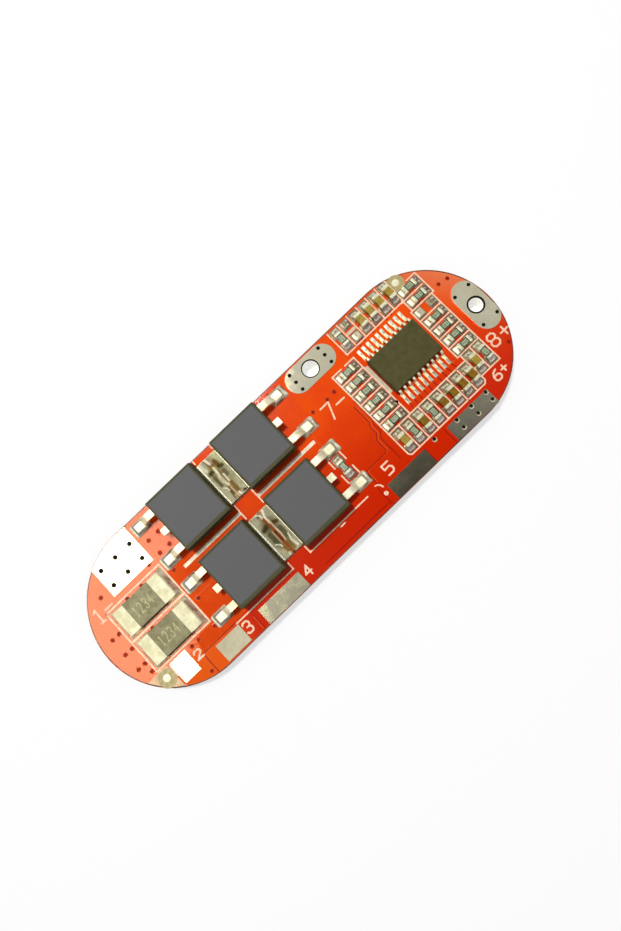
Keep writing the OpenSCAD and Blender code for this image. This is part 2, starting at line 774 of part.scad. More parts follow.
module shunt_solder() {
    inner = shunt_reach - shunt_land_l;
    color("silver") for (spot = shunt_spots) at(spot, seat_z)
        for (side = [0, 1]) mirror([side, 0, 0]) difference() {
            intersection() {
                across(shunt_land_w) polygon(concat(
                    [[inner, 0], [inner, shunt_solder_h]],
                    [for (p = flank(shunt_land_toe, shunt_solder_h))
                        [shunt_l / 2 + p[0], p[1]]]));
                rotate([0, 0, 90]) translate([0, -shunt_l / 2, 0])
                    across(2 * shunt_land_l)
                        polygon(mound(shunt_w / 2, shunt_land_side, shunt_solder_h));
            }
            across(shunt_w) translate([-eps, 0])
                fold_profile(shunt_l / 2 + eps, shunt_h, shunt_fold_r);
        }
}

// ---- Controller ----

module ic_lead() {
    rotate([0, 0, 90]) translate([ic_w / 2, 0, 0]) across(ic_lead_w)
        polygon(lead_profile(2 * ic_lead_t, ic_lead_straight, ic_lead_reach, ic_lead_z,
            ic_lead_t, ic_bend_r, ic_lead_slope));
}

// Repeats its children at every lead of the controller
module each_ic_lead() {
    for (turn = [0, 180], i = [0:ic_leads - 1])
        rotate([0, 0, turn]) translate([(i - (ic_leads - 1) / 2) * ic_pitch, 0, 0])
            children();
}

module controller_body() {
    dimple = [ic_l / 2 - ic_dimple_inset, ic_w / 2 - ic_dimple_inset];
    top = ic_standoff + ic_h;
    color("darkolivegreen") translate([ic_x, ic_y, seat_z]) difference() {
        moulding(ic_l, ic_w, ic_standoff, ic_standoff + ic_h / 2, top, ic_draft,
            ic_lead_t);
        each_ic_lead() ic_lead();
        translate([dimple[0], dimple[1], top - ic_dimple_t])
            cylinder(d = ic_dimple_d, h = ic_dimple_t + eps);
    }
}

module controller_leads() {
    color("cornsilk") translate([ic_x, ic_y, seat_z]) each_ic_lead() ic_lead();
}

module controller_lands() {
    color("lightgray") land() translate([ic_x, ic_y]) each_ic_lead()
        translate([0, ic_land_y]) square([ic_land_w, ic_land_l], center = true);
}

module controller_solder() {
    color("silver") translate([ic_x, ic_y, seat_z]) each_ic_lead()
        translate([0, ic_tip_y, 0]) rotate([0, 0, 90])
            end_fillet(ic_land_toe, ic_lead_w, (ic_land_w - ic_lead_w) / 2, ic_solder_h);
}

// ---- Chip parts ----

// Block with two metal ends that wrap it on five sides
module chip(h, end_l) {
    translate([-chip_l / 2 + end_t, -chip_w / 2 + end_t, end_t])
        cube([chip_l - 2 * end_t, chip_w - 2 * end_t, h - 2 * end_t]);
    for (side = [0, 1]) mirror([side, 0, 0]) intersection() {
        translate([chip_l / 2 - end_l, 0, 0]) across(chip_w) fold_profile(end_l, h, end_r);
        linear_extrude(h) rounded_plan(chip_l, chip_w, end_r);
    }
}

module chip_resistor(spot) {
    color("darkslategray") at(spot, seat_z) chip(resistor_h, resistor_end);
}

module chip_capacitor(spot) {
    color("darkgoldenrod") at(spot, seat_z) chip(capacitor_h, capacitor_end);
}

module chip_lands() {
    color("lightgray") for (spot = concat(chip_spots, empty_spots)) at(spot) land()
        for (side = [-1, 1]) translate([side * (chip_reach - chip_land_l / 2), 0])
            square([chip_land_l, chip_land_w], center = true);
}

module chip_fillets(spot, h) {
    at(spot, seat_z) for (side = [0, 1]) mirror([side, 0, 0])
        translate([chip_l / 2, 0, 0]) end_fillet(
            chip_land_toe, chip_w - 2 * end_r, (chip_land_w - chip_w) / 2 + end_r, h);
}

module chip_solder() {
    color("silver") {
        for (spot = resistor_spots) chip_fillets(spot, resistor_solder_h);
        for (spot = capacitor_spots) chip_fillets(spot, capacitor_solder_h);
    }
}

circuit_board();
p_minus_terminal();
p_plus_terminal();
b_minus_pad();
b_plus_pad();
b1_pad();
b2_pad();
b_pad();
a_pad();
fiducial_dots();
transistor_lands();
shunt_lands();
controller_lands();
chip_lands();
transistor_solder();
shunt_solder();
controller_solder();
chip_solder();
controller_body();
controller_leads();
for (i = [1:len(fet_spots)]) {
    transistor_body(fet_spots[i - 1]);
    transistor_lead_frame(fet_spots[i - 1]);
}
for (i = [1:len(shunt_spots)]) {
    shunt_element(shunt_spots[i - 1]);
    shunt_terminals(shunt_spots[i - 1]);
}
for (i = [1:len(resistor_spots)])
    chip_resistor(resistor_spots[i - 1]);
for (i = [1:len(capacitor_spots)])
    chip_capacitor(capacitor_spots[i - 1]);
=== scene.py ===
import logging
from collections.abc import Callable
from dataclasses import dataclass
from enum import Enum

import bpy
import numpy as np
from mathutils import Matrix, Vector


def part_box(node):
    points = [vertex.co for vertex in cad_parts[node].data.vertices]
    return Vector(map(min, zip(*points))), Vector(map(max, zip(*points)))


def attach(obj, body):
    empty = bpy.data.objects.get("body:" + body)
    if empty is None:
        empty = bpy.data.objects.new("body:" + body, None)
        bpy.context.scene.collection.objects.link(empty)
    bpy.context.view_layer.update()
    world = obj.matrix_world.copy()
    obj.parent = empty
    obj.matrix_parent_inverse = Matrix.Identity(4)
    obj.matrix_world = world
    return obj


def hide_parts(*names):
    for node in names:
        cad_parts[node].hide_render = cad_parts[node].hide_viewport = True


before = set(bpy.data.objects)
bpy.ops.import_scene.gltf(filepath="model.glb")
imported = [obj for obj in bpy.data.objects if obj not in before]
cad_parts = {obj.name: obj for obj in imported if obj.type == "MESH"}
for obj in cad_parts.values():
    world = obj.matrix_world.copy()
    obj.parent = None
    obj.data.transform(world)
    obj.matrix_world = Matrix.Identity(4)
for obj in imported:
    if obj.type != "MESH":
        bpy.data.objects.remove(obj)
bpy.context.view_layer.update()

MM = 0.001
FULL_TURN = 2 * np.pi
QUARTER_TURN = np.pi / 2
log = logging.getLogger("board")

BOARD_TOP = 1.6
BOARD_END_R = 8.9
BOARD_END_X = 18.1
CHIP_PITCH = 1.375
FILM_T = 0.006

MIX_FACTOR, MIX_FIRST, MIX_SECOND, MIX_COLOUR = 0, 6, 7, 2

Colour = tuple[int, int, int]
Point = tuple[float, float]
Place = tuple[float, float, float]
Ramp = tuple[float, float, float, float]
Stroke = tuple[Colour, list[Point], float]
Socket = bpy.types.NodeSocket
HeightLaw = Callable[[np.ndarray, np.ndarray, np.ndarray], np.ndarray]


# ---------------------------------------------------------------- colours

def srgb(red: int, green: int, blue: int) -> tuple[float, float, float, float]:
    """Turns a display colour into the linear colour that a shader takes.

    Args:
        red: Red from 0 to 255.
        green: Green from 0 to 255.
        blue: Blue from 0 to 255.

    Returns:
        The linear colour with full opacity.
    """
    c = np.array([red, green, blue]) / 255.0
    low = c / 12.92
    high = ((c + 0.055) / 1.055) ** 2.4
    r, g, b = np.where(c <= 0.04045, low, high)
    return float(r), float(g), float(b), 1.0


# ---------------------------------------------------------------- node helpers

class Net:
    """Adds and joins the nodes of one node tree."""

    def __init__(self, tree: bpy.types.NodeTree) -> None:
        """Keeps the tree that nodes are added to."""
        self.tree = tree

    def add(self, kind: str, **settings: object) -> bpy.types.Node:
        """Adds a node.

        Args:
            kind: Blender's type name of the node, without ShaderNode.
            settings: Properties of the node, such as operation.

        Returns:
            The new node.
        """
        made = self.tree.nodes.new(kind if kind.startswith("Node") else "ShaderNode" + kind)
        for name, value in settings.items():
            setattr(made, name, value)
        return made

    def put(self, socket: Socket, value: object) -> None:
        """Joins a socket to another node's output, or sets its plain value.

        Args:
            socket: The input socket.
            value: An output socket or a plain value.
        """
        if isinstance(value, Socket):
            self.tree.links.new(value, socket)
        else:
            socket.default_value = value

    def math(self, operation: str, *values: object, clamp: bool = False) -> Socket:
        """Adds a Math node.

        Args:
            operation: Name of the operation.
            values: Sockets or numbers that it works on.
            clamp: Whether the result is held between 0 and 1.

        Returns:
            The socket with the result.
        """
        made = self.add("Math", operation=operation, use_clamp=clamp)
        for socket, value in zip(made.inputs, values):
            self.put(socket, value)
        return made.outputs[0]

    def mix(self, factor: object, first: object, second: object, blend: str = "MIX") -> Socket:
        """Adds a colour Mix node.

        Args:
            factor: Share of the second colour.
            first: First colour.
            second: Second colour.
            blend: How the two are blended.

        Returns:
            The mixed colour.
        """
        made = self.add("Mix", data_type="RGBA", blend_type=blend)
        self.put(made.inputs[MIX_FACTOR], factor)
        self.put(made.inputs[MIX_FIRST], first)
        self.put(made.inputs[MIX_SECOND], second)
        return made.outputs[MIX_COLOUR]

    def ramp(self, value: object, low: float, high: float, to_low: float = 0.0, to_high: float = 1.0) -> Socket:
        """Adds a smooth, clamped Map Range node.

        Args:
            value: The value.
            low: Value that becomes to_low.
            high: Value that becomes to_high.
            to_low: Result at low.
            to_high: Result at high.

        Returns:
            The socket with the result.
        """
        made = self.add("MapRange", interpolation_type="SMOOTHSTEP")
        for socket, item in zip(made.inputs, (value, low, high, to_low, to_high)):
            self.put(socket, item)
        return made.outputs[0]

    def place(self) -> Socket:
        """Gives the point's place in the row frame, in metres."""
        return self.add("TexCoord").outputs["Object"]

    def split(self, vector: Socket) -> tuple[Socket, Socket, Socket]:
        """Splits a vector.

        Args:
            vector: The vector.

        Returns:
            Its three parts.
        """
        made = self.add("SeparateXYZ")
        self.put(made.inputs[0], vector)
        return made.outputs[0], made.outputs[1], made.outputs[2]

    def upright(self) -> Socket:
        """Gives 1 on faces that stand upright and 0 on faces that lie flat, by the height of the face's normal."""
        normal_z = self.split(self.add("NewGeometry").outputs["True Normal"])[2]
        return self.math("LESS_THAN", self.math("ABSOLUTE", normal_z), 0.5)

    def noise(self, scale: object, detail: float = 3.0, roughness: float = 0.5,
              place: object = None, distortion: float = 0.0) -> Socket:
        """Adds noise over the piece.

        Args:
            scale: Lumps to a metre.
            detail: Octaves of the noise.
            roughness: Strength of the finer octaves.
            place: Point to read it at, or None for the place in the row frame.
            distortion: How far the noise swirls.

        Returns:
            The value of the noise, from 0 to 1.
        """
        made = self.add("TexNoise")
        self.put(made.inputs["Vector"], place if place is not None else self.place())
        self.put(made.inputs["Scale"], scale)
        self.put(made.inputs["Detail"], detail)
        self.put(made.inputs["Roughness"], roughness)
        self.put(made.inputs["Distortion"], distortion)
        return made.outputs[0]

    def group(self, tree: bpy.types.NodeTree, **values: object) -> bpy.types.Node:
        """Places a node group.

        Args:
            tree: The group.
            values: Values or sockets for its inputs, with _ for a space.

        Returns:
            The group's node.
        """
        made = self.add("Group")
        made.node_tree = tree
        for name, value in values.items():
            self.put(made.inputs[name.replace("_", " ").capitalize()], value)
        return made


def start_group(name: str, inputs: dict[str, float | tuple],
                outputs: dict[str, str]) -> tuple[Net, bpy.types.Node, bpy.types.Node]:
    """Starts a shader node group.

    Args:
        name: Name of the group.
        inputs: Default of each input. A tuple makes a colour input.
        outputs: Socket type of each output.

    Returns:
        The group's net, its input node and its output node.
    """
    tree = bpy.data.node_groups.new(name, "ShaderNodeTree")
    for key, value in inputs.items():
        kind = "NodeSocketColor" if isinstance(value, tuple) else "NodeSocketFloat"
        tree.interface.new_socket(key, in_out="INPUT", socket_type=kind).default_value = value
    for key, kind in outputs.items():
        tree.interface.new_socket(key, in_out="OUTPUT", socket_type=kind)
    net = Net(tree)
    return net, net.add("NodeGroupInput"), net.add("NodeGroupOutput")


def mottle_group() -> bpy.types.NodeTree:
    """Builds the group that blotches two colours into each other, with a value for the same blotches.

    Returns:
        The group.
    """
    net, enter, leave = start_group(
        "mottle",
        {"First": (0.5, 0.5, 0.5, 1.0), "Second": (0.4, 0.4, 0.4, 1.0), "Scale": 500.0, "Low": 0.35, "High": 0.65},
        {"Color": "NodeSocketColor", "Mask": "NodeSocketFloat"})
    value = net.noise(enter.outputs["Scale"], detail=4.0, roughness=0.6)
    mask = net.ramp(value, enter.outputs["Low"], enter.outputs["High"])
    net.put(leave.inputs["Color"], net.mix(mask, enter.outputs["First"], enter.outputs["Second"]))
    net.put(leave.inputs["Mask"], mask)
    return net.tree


def grain_group() -> bpy.types.NodeTree:
    """Builds the group that gives a height: broad waves plus fine grain, each with its own scale and share.

    Returns:
        The group.
    """
    net, enter, leave = start_group(
        "grain", {"Wave scale": 600.0, "Grain scale": 9000.0, "Grain share": 0.5},
        {"Height": "NodeSocketFloat"})
    wave = net.noise(enter.outputs["Wave scale"], detail=2.0)
    fine = net.noise(enter.outputs["Grain scale"], detail=2.0)
    share = enter.outputs["Grain share"]
    left = net.math("MULTIPLY", wave, net.math("SUBTRACT", 1.0, share))
    net.put(leave.inputs["Height"], net.math("ADD", left, net.math("MULTIPLY", fine, share)))
    return net.tree


def field_group() -> bpy.types.NodeTree:
    """Builds the group that masks a rectangle seen from above: middle, half sizes and softness in metres.

    Returns:
        The group.
    """
    net, enter, leave = start_group(
        "field", {"Middle x": 0.0, "Middle y": 0.0, "Half x": 0.001, "Half y": 0.001, "Soft": 0.0001},
        {"Mask": "NodeSocketFloat"})
    edges = []
    for at, centre, half in zip(net.split(net.place()), ("Middle x", "Middle y"), ("Half x", "Half y")):
        away = net.math("ABSOLUTE", net.math("SUBTRACT", at, enter.outputs[centre]))
        inside = net.math("SUBTRACT", enter.outputs[half], away)
        edges.append(net.math("DIVIDE", inside, enter.outputs["Soft"], clamp=True))
    net.put(leave.inputs["Mask"], net.math("MULTIPLY", *edges))
    return net.tree


MADE: dict[str, bpy.types.Material] = {}
MOTTLE = mottle_group()
GRAIN = grain_group()
FIELD = field_group()


# ---------------------------------------------------------------- finishes

@dataclass(frozen=True)
class Finish:
    """A finish with two blotched colours, an uneven gloss and a fine relief. Scales are lumps to a metre, and the
    relief is in millimetres."""

    name: str
    first: Colour
    second: Colour
    scale: float = 500.0
    low: float = 0.35
    high: float = 0.65
    metallic: float = 0.0
    specular: float = 0.5
    smooth: float = 0.4
    rough: float = 0.5
    coat: float = 0.0
    relief: float = 0.02
    wave_scale: float = 600.0
    grain_scale: float = 9000.0
    grain_share: float = 0.5

    def colour(self, net: Net) -> tuple[Socket, Socket]:
        """Makes the colour over the surface.

        Args:
            net: Net of the material.

        Returns:
            The colour and the mask of the blotches.
        """
        spots = net.group(MOTTLE, first=srgb(*self.first), second=srgb(*self.second),
                          scale=self.scale, low=self.low, high=self.high)
        return spots.outputs["Color"], spots.outputs["Mask"]

    def gloss(self, net: Net, mask: Socket) -> Socket:
        """Makes the roughness: smooth where the mask is 0, rough where it is 1."""
        return net.ramp(mask, 0.0, 1.0, self.smooth, self.rough)

    def material(self) -> bpy.types.Material:
        """Builds the material, or gives it again if it is there.

        Returns:
            The material.
        """
        if self.name in MADE:
            return MADE[self.name]
        made = bpy.data.materials.new("look_" + self.name)
        MADE[self.name] = made
        made.use_nodes = True
        net = Net(made.node_tree)
        shader = made.node_tree.nodes["Principled BSDF"]
        shader.inputs["Specular IOR Level"].default_value = self.specular
        colour, mask = self.colour(net)
        net.put(shader.inputs["Base Color"], colour)
        net.put(shader.inputs["Roughness"], self.gloss(net, mask))
        shader.inputs["Metallic"].default_value = self.metallic
        shader.inputs["Coat Weight"].default_value = self.coat
        grain = net.group(GRAIN, wave_scale=self.wave_scale, grain_scale=self.grain_scale,
                          grain_share=self.grain_share)
        bump = net.add("Bump")
        bump.inputs["Strength"].default_value = 1.0
        bump.inputs["Distance"].default_value = self.relief * MM
        net.put(bump.inputs["Height"], grain.outputs["Height"])
        net.put(shader.inputs["Normal"], bump.outputs[0])
        return made


@dataclass(frozen=True)
class MaskFinish(Finish):
    """Solder mask on the flat sides of the board, bare laminate on its edge and in its holes."""

    laminate: Colour = (132, 84, 48)
    laminate_dark: Colour = (88, 48, 26)
    # Painted shade: the mask turns deeper towards the long edge at negative y, where the light falls off.
    painted_shade: Colour = (202, 36, 1)
    warm: Colour = (232, 88, 6)
    pale: Colour = (230, 122, 74)
    painted_shade_y: Point = (0.005, -0.0085)
    warm_x: Point = (-0.013, -0.018)
    pale_slant: Point = (0.0235, 0.0295)
    slant: float = 0.6
    layers: float = 900.0
    layer_wander: float = 1.5

    def colour(self, net: Net) -> tuple[Socket, Socket]:
        """Makes the colour: mask where the face looks up or down, with painted shade that deepens it towards one
        long edge, paler towards the ends, and layered laminate elsewhere.

        Args:
            net: Net of the material.

        Returns:
            The colour and the mask of the blotches.
        """
        flat, mask = super().colour(net)
        along, across, _ = net.split(net.place())
        # Painted shade towards the long edge at negative y.
        flat = net.mix(net.ramp(across, *self.painted_shade_y), flat, srgb(*self.painted_shade))
        flat = net.mix(net.ramp(along, *self.warm_x), flat, srgb(*self.warm))
        slant = net.math("ADD", along, net.math("MULTIPLY", across, self.slant))
        flat = net.mix(net.ramp(slant, *self.pale_slant), flat, srgb(*self.pale))
        layers = net.add("TexWave", wave_type="BANDS", bands_direction="Z")
        net.put(layers.inputs["Vector"], net.place())
        net.put(layers.inputs["Scale"], self.layers)
        net.put(layers.inputs["Distortion"], self.layer_wander)
        edge = net.mix(layers.outputs[1], srgb(*self.laminate_dark), srgb(*self.laminate))
        return net.mix(net.upright(), flat, edge), mask


@dataclass(frozen=True)
class HoleFinish(Finish):
    """Tinned copper with painted light in the holes: near-white hole walls stand in for the white floor seen through
    them.
    """

    # Painted light: near-white colour of the hole walls.
    painted_light_lining: Colour = (255, 254, 248)

    def colour(self, net: Net) -> tuple[Socket, Socket]:
        """Makes the colour: the near-white painted light on the hole walls, where the face stands upright."""
        plain, mask = super().colour(net)
        return net.mix(net.upright(), plain, srgb(*self.painted_light_lining)), mask


@dataclass(frozen=True)
class TintedFinish(Finish):
    """A finish whose colour is the piece's own tint attribute, blotched a little. On the solder pieces the tint holds
    painted highlights, painted dark reflections and painted shade.
    """

    def colour(self, net: Net) -> tuple[Socket, Socket]:
        """Makes the colour: the tint times the blotches.

        Args:
            net: Net of the material.

        Returns:
            The colour and the mask of the blotches.
        """
        spots, mask = super().colour(net)
        tint = net.add("Attribute", attribute_name="tint").outputs["Color"]
        return net.mix(1.0, tint, spots, "MULTIPLY"), mask


@dataclass(frozen=True)
class MouldFinish(Finish):
    """Moulded epoxy with a bare matt field on its top."""

    field: Colour = (94, 94, 96)
    middle: Point = (0.0, 0.0)
    half: Point = (2.7, 2.8)
    top_z: float = 0.0
    soft: float = 0.12
    rim_drop: float = 0.05

    def colour(self, net: Net) -> tuple[Socket, Socket]:
        """Makes the colour: the field inside its rectangle on the top, the moulding elsewhere.

        Args:
            net: Net of the material.

        Returns:
            The colour and the mask of the blotches.
        """
        plain, mask = super().colour(net)
        area = net.group(FIELD, middle_x=self.middle[0] * MM, middle_y=self.middle[1] * MM,
                         half_x=self.half[0] * MM, half_y=self.half[1] * MM, soft=self.soft * MM)
        top = net.math("GREATER_THAN", net.split(net.place())[2], (self.top_z - self.rim_drop) * MM)
        inside = net.math("MULTIPLY", area.outputs[0], top)
        return net.mix(inside, plain, srgb(*self.field)), mask


SOLDER_MASK = MaskFinish("solder_mask", (238, 78, 0), (230, 66, 0), scale=260.0, specular=0.17, smooth=0.06, rough=0.09,
                         relief=0.004, wave_scale=500.0, grain_scale=4000.0, grain_share=0.3)
SEAM_MASK = Finish("mask_seam", (168, 22, 0), (146, 16, 0), scale=400.0, specular=0.1, smooth=0.2, rough=0.3,
                   relief=0.004)
MASK_FLAT = Finish("mask_without_sheen", (228, 78, 8), (216, 66, 4), scale=260.0, specular=0.02, smooth=0.4,
                   rough=0.5, relief=0.004)
SEAM_LIGHT = Finish("mask_seam_ridge", (236, 92, 20), (226, 76, 10), scale=400.0, specular=0.1, smooth=0.2, rough=0.3,
                    relief=0.004)
VIA_MASK = Finish("mask_in_vias", (166, 36, 10), (126, 24, 8), scale=2000.0, specular=0.04, smooth=0.3, rough=0.4,
                  relief=0.004)
# Painted shade along the board's rim.
RIM_SHADE_MASK = Finish("mask_with_painted_rim_shade", (132, 66, 44), (70, 28, 16), scale=220.0, specular=0.2, smooth=0.3, rough=0.4,
                  relief=0.004)
BARE = Finish("bare_laminate", (176, 160, 102), (158, 142, 86), scale=1800.0, smooth=0.45, rough=0.6, relief=0.01)
BARE_PALE = Finish("bare_laminate_edge", (216, 166, 120), (196, 146, 102), scale=900.0, smooth=0.35, rough=0.5,
                   relief=0.01)
WINDOW = Finish("resistor_window", (164, 178, 140), (134, 150, 112), scale=4000.0, smooth=0.3, rough=0.45, relief=0.006)
ALUMINA = Finish("resistor_ceramic", (226, 220, 200), (204, 196, 172), scale=3000.0, smooth=0.4, rough=0.6,
                 relief=0.006)
SHUNT_INK = Finish("shunt_ink", (186, 176, 112), (172, 162, 98), scale=2500.0, smooth=0.45, rough=0.6, relief=0.006)
SILK = Finish("silk_ink", (250, 212, 180), (238, 188, 154), scale=2500.0, smooth=0.5, rough=0.65,
              relief=0.01, grain_scale=12000.0)
# Painted light: a lighter copy of the ink for the broad bars, so they stay bright beside the transistors' shadow.
SILK_LIT = Finish("silk_ink_painted_lit", (250, 236, 208), (236, 218, 188), scale=1500.0, smooth=0.5, rough=0.65,
                    relief=0.01, grain_scale=12000.0)
SILK_GREY = Finish("silk_ink_grey", (206, 196, 166), (190, 180, 150), scale=2500.0, smooth=0.5, rough=0.65,
                   relief=0.01, grain_scale=12000.0)
# Bare margin round the lands, darkened as painted shade.
LAND_MARGIN_SHADE = Finish("land_margin_with_painted_shade", (104, 42, 18), (76, 30, 14), scale=2500.0, smooth=0.3, rough=0.5, relief=0.006)
TIN = Finish("tinned_copper", (238, 230, 196), (214, 204, 166), scale=900.0, low=0.3, high=0.7, metallic=1.0,
             smooth=0.08, rough=0.13, relief=0.0012, wave_scale=700.0, grain_scale=5000.0, grain_share=0.4)
# Tin whose hole walls carry painted light.
HOLE_TIN = HoleFinish("tinned_copper_holes", (255, 250, 220), (242, 234, 198), scale=900.0, low=0.3, high=0.7,
                      metallic=1.0, smooth=0.05, rough=0.09, relief=0.0012, wave_scale=700.0, grain_scale=5000.0,
                      grain_share=0.4)
# Painted reflection: near-white, less metallic tin whose own colour stands in for the lamp's glare on two pads.
TIN_PAINTED_GLARE = Finish("tinned_copper_painted_glare", (248, 242, 216), (236, 228, 198), scale=900.0, low=0.3, high=0.7,
                    metallic=0.3, specular=0.3, smooth=0.16, rough=0.22, relief=0.0012, wave_scale=700.0,
                    grain_scale=5000.0, grain_share=0.4)
# Tin with darker blotches and a darker ground than the plain tin.
TIN_MOTTLED = Finish("tinned_copper_mottled", (226, 220, 192), (172, 168, 146), scale=700.0, low=0.3, high=0.7,
                  metallic=1.0, smooth=0.1, rough=0.2, relief=0.0012, wave_scale=700.0, grain_scale=5000.0,
                  grain_share=0.4)
TIN_DULL = Finish("tinned_copper_dull", (208, 200, 168), (190, 182, 150), scale=900.0, low=0.3, high=0.7,
                  specular=0.06, smooth=0.5, rough=0.6, relief=0.004, wave_scale=700.0, grain_scale=5000.0,
                  grain_share=0.6)
VIA_DARK = Finish("via_shade", (40, 36, 26), (24, 22, 16), scale=3000.0, specular=0.0, smooth=0.3, rough=0.5,
                  relief=0.004)
SOLDER = Finish("solder", (240, 234, 210), (150, 142, 118), scale=2600.0, low=0.4, high=0.68, metallic=0.6,
                specular=0.3, smooth=0.24, rough=0.34, relief=0.012, wave_scale=1400.0, grain_scale=5000.0,
                grain_share=0.3)
LEAD_TIN = Finish("tinned_lead", (240, 234, 204), (214, 206, 170), scale=1500.0, metallic=0.12, specular=0.35,
                  smooth=0.36, rough=0.48, relief=0.006, wave_scale=800.0, grain_scale=7000.0)
CHIP_END = Finish("chip_end", (230, 228, 196), (190, 190, 156), scale=3200.0, metallic=0.1, specular=0.35, smooth=0.3,
                  rough=0.45, relief=0.008, wave_scale=1500.0, grain_scale=7000.0)
SHUNT_TIN = Finish("shunt_terminal", (238, 232, 190), (212, 204, 158), scale=900.0, specular=0.4, smooth=0.4,
                   rough=0.5, relief=0.012, wave_scale=500.0, grain_scale=3000.0)
# Painted shadow: dark strips along the long sides of the shunts.
SHUNT_SHADOW_PAINT = Finish("painted_shadow_along_shunts", (46, 22, 12), (84, 30, 16), scale=1400.0, specular=0.2, smooth=0.3, rough=0.5,
                   relief=0.006)
SHUNT_COAT = Finish("shunt_coat", (130, 124, 84), (116, 110, 70), scale=1500.0, specular=0.25, smooth=0.4, rough=0.55,
                    relief=0.012, grain_scale=8000.0)
RESISTOR_COAT = Finish("resistor_coat", (34, 42, 30), (52, 60, 44), scale=3000.0, smooth=0.2, rough=0.4,
                       relief=0.008)
CERAMIC_BROWN = Finish("capacitor_ceramic_brown", (138, 102, 8), (116, 82, 2), scale=2500.0, specular=0.12,
                       smooth=0.35, rough=0.55, relief=0.008)
CERAMIC = Finish("capacitor_ceramic", (170, 144, 46), (148, 122, 34), scale=2500.0, specular=0.2, smooth=0.35,
                 rough=0.55, relief=0.008)
CONTROLLER = Finish("controller_moulding", (80, 75, 37), (73, 68, 32), scale=1500.0, specular=0.1, smooth=0.45,
                    rough=0.6, relief=0.008, grain_scale=15000.0, grain_share=0.8)
# Brown flux with painted highlights and painted shade in its tint; its own gloss is nearly none.
FLUX_AND_PAINTED_LIGHT = TintedFinish("fluxed_solder_with_painted_light", (255, 255, 255), (222, 222, 222), scale=2500.0, specular=0.03, smooth=0.5,
                      rough=0.5, relief=0.006, wave_scale=1500.0, grain_scale=5000.0, grain_share=0.3)
# Solder whose tint holds painted highlights, painted dark reflections and painted shade.
POOLED_PAINTED_LIGHT = TintedFinish("pooled_solder_painted_light", (255, 255, 255), (214, 212, 206), scale=3200.0, metallic=0.12, specular=0.3,
                      smooth=0.28, rough=0.42, relief=0.012, wave_scale=1600.0, grain_scale=6000.0, grain_share=0.3)


def dress(node: str, finish: Finish) -> None:
    """Gives a carried-over node its finish and reports it.

    Args:
        node: Name of the node.
        finish: Its finish.
    """
    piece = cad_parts[node]
    piece.data.materials.clear()
    piece.data.materials.append(finish.material())
    log.info("%s: %s", node, finish.name)


# ---------------------------------------------------------------- surfaces

@dataclass
class Sheet:
    """Points and faces of one closed surface, in millimetres."""

    points: np.ndarray
    faces: list[list[int]]

    def joined(self, *others: "Sheet") -> "Sheet":
        """Joins surfaces into one.

        Args:
            others: The surfaces to add.

        Returns:
            The joined surface.
        """
        points = [self.points]
        faces = list(self.faces)
        count = len(self.points)
        for other in others:
            points.append(other.points)
            faces += [[index + count for index in face] for face in other.faces]
            count += len(other.points)
        return Sheet(np.concatenate(points), faces)


def grid_faces(rows: int, columns: int, closed: bool) -> list[list[int]]:
    """Lists the four-sided faces of a grid of points.

    Args:
        rows: Rows of points.
        columns: Points in a row.
        closed: Whether each row is a ring.

    Returns:
        The faces, each with its four point numbers.
    """
    across = columns if closed else columns - 1
    i, j = np.meshgrid(np.arange(rows - 1), np.arange(across), indexing="ij")
    a = i * columns + j
    b = i * columns + (j + 1) % columns
    return np.stack([a, b, b + columns, a + columns], axis=-1).reshape(-1, 4).tolist()


def loft(rings: np.ndarray) -> Sheet:
    """Skins rings of points, listed anticlockwise seen from the last ring, and closes both ends with fans.

    Args:
        rings: Array of rings, points and coordinates.

    Returns:
        The closed surface.
    """
    rows, columns = rings.shape[:2]
    points = np.concatenate([rings.reshape(-1, 3), rings[0].mean(0)[None], rings[-1].mean(0)[None]])
    j = np.arange(columns)
    k = (j + 1) % columns
    last = (rows - 1) * columns
    start = np.stack([k, j, np.full(columns, rows * columns)], axis=1).tolist()
    end = np.stack([last + j, last + k, np.full(columns, rows * columns + 1)], axis=1).tolist()
    return Sheet(points, grid_faces(rows, columns, True) + start + end)


def rounded_ring(half_x: float, half_y: float, radius: float, steps: int = 5) -> np.ndarray:
    """Works out a rounded rectangle as points, anticlockwise: quarter circles about the four inset corners.

    Args:
        half_x: Half its length.
        half_y: Half its width.
        radius: Radius of its corners.
        steps: Steps in a corner.

    Returns:
        Points in the plane.
    """
    turn = np.linspace(0, QUARTER_TURN, steps + 1)
    angle = np.concatenate([turn + QUARTER_TURN * quarter for quarter in range(4)])
    side_x = np.repeat([1, -1, -1, 1], steps + 1) * (half_x - radius)
    side_y = np.repeat([1, 1, -1, -1], steps + 1) * (half_y - radius)
    return np.stack([side_x + radius * np.cos(angle), side_y + radius * np.sin(angle)], axis=1)


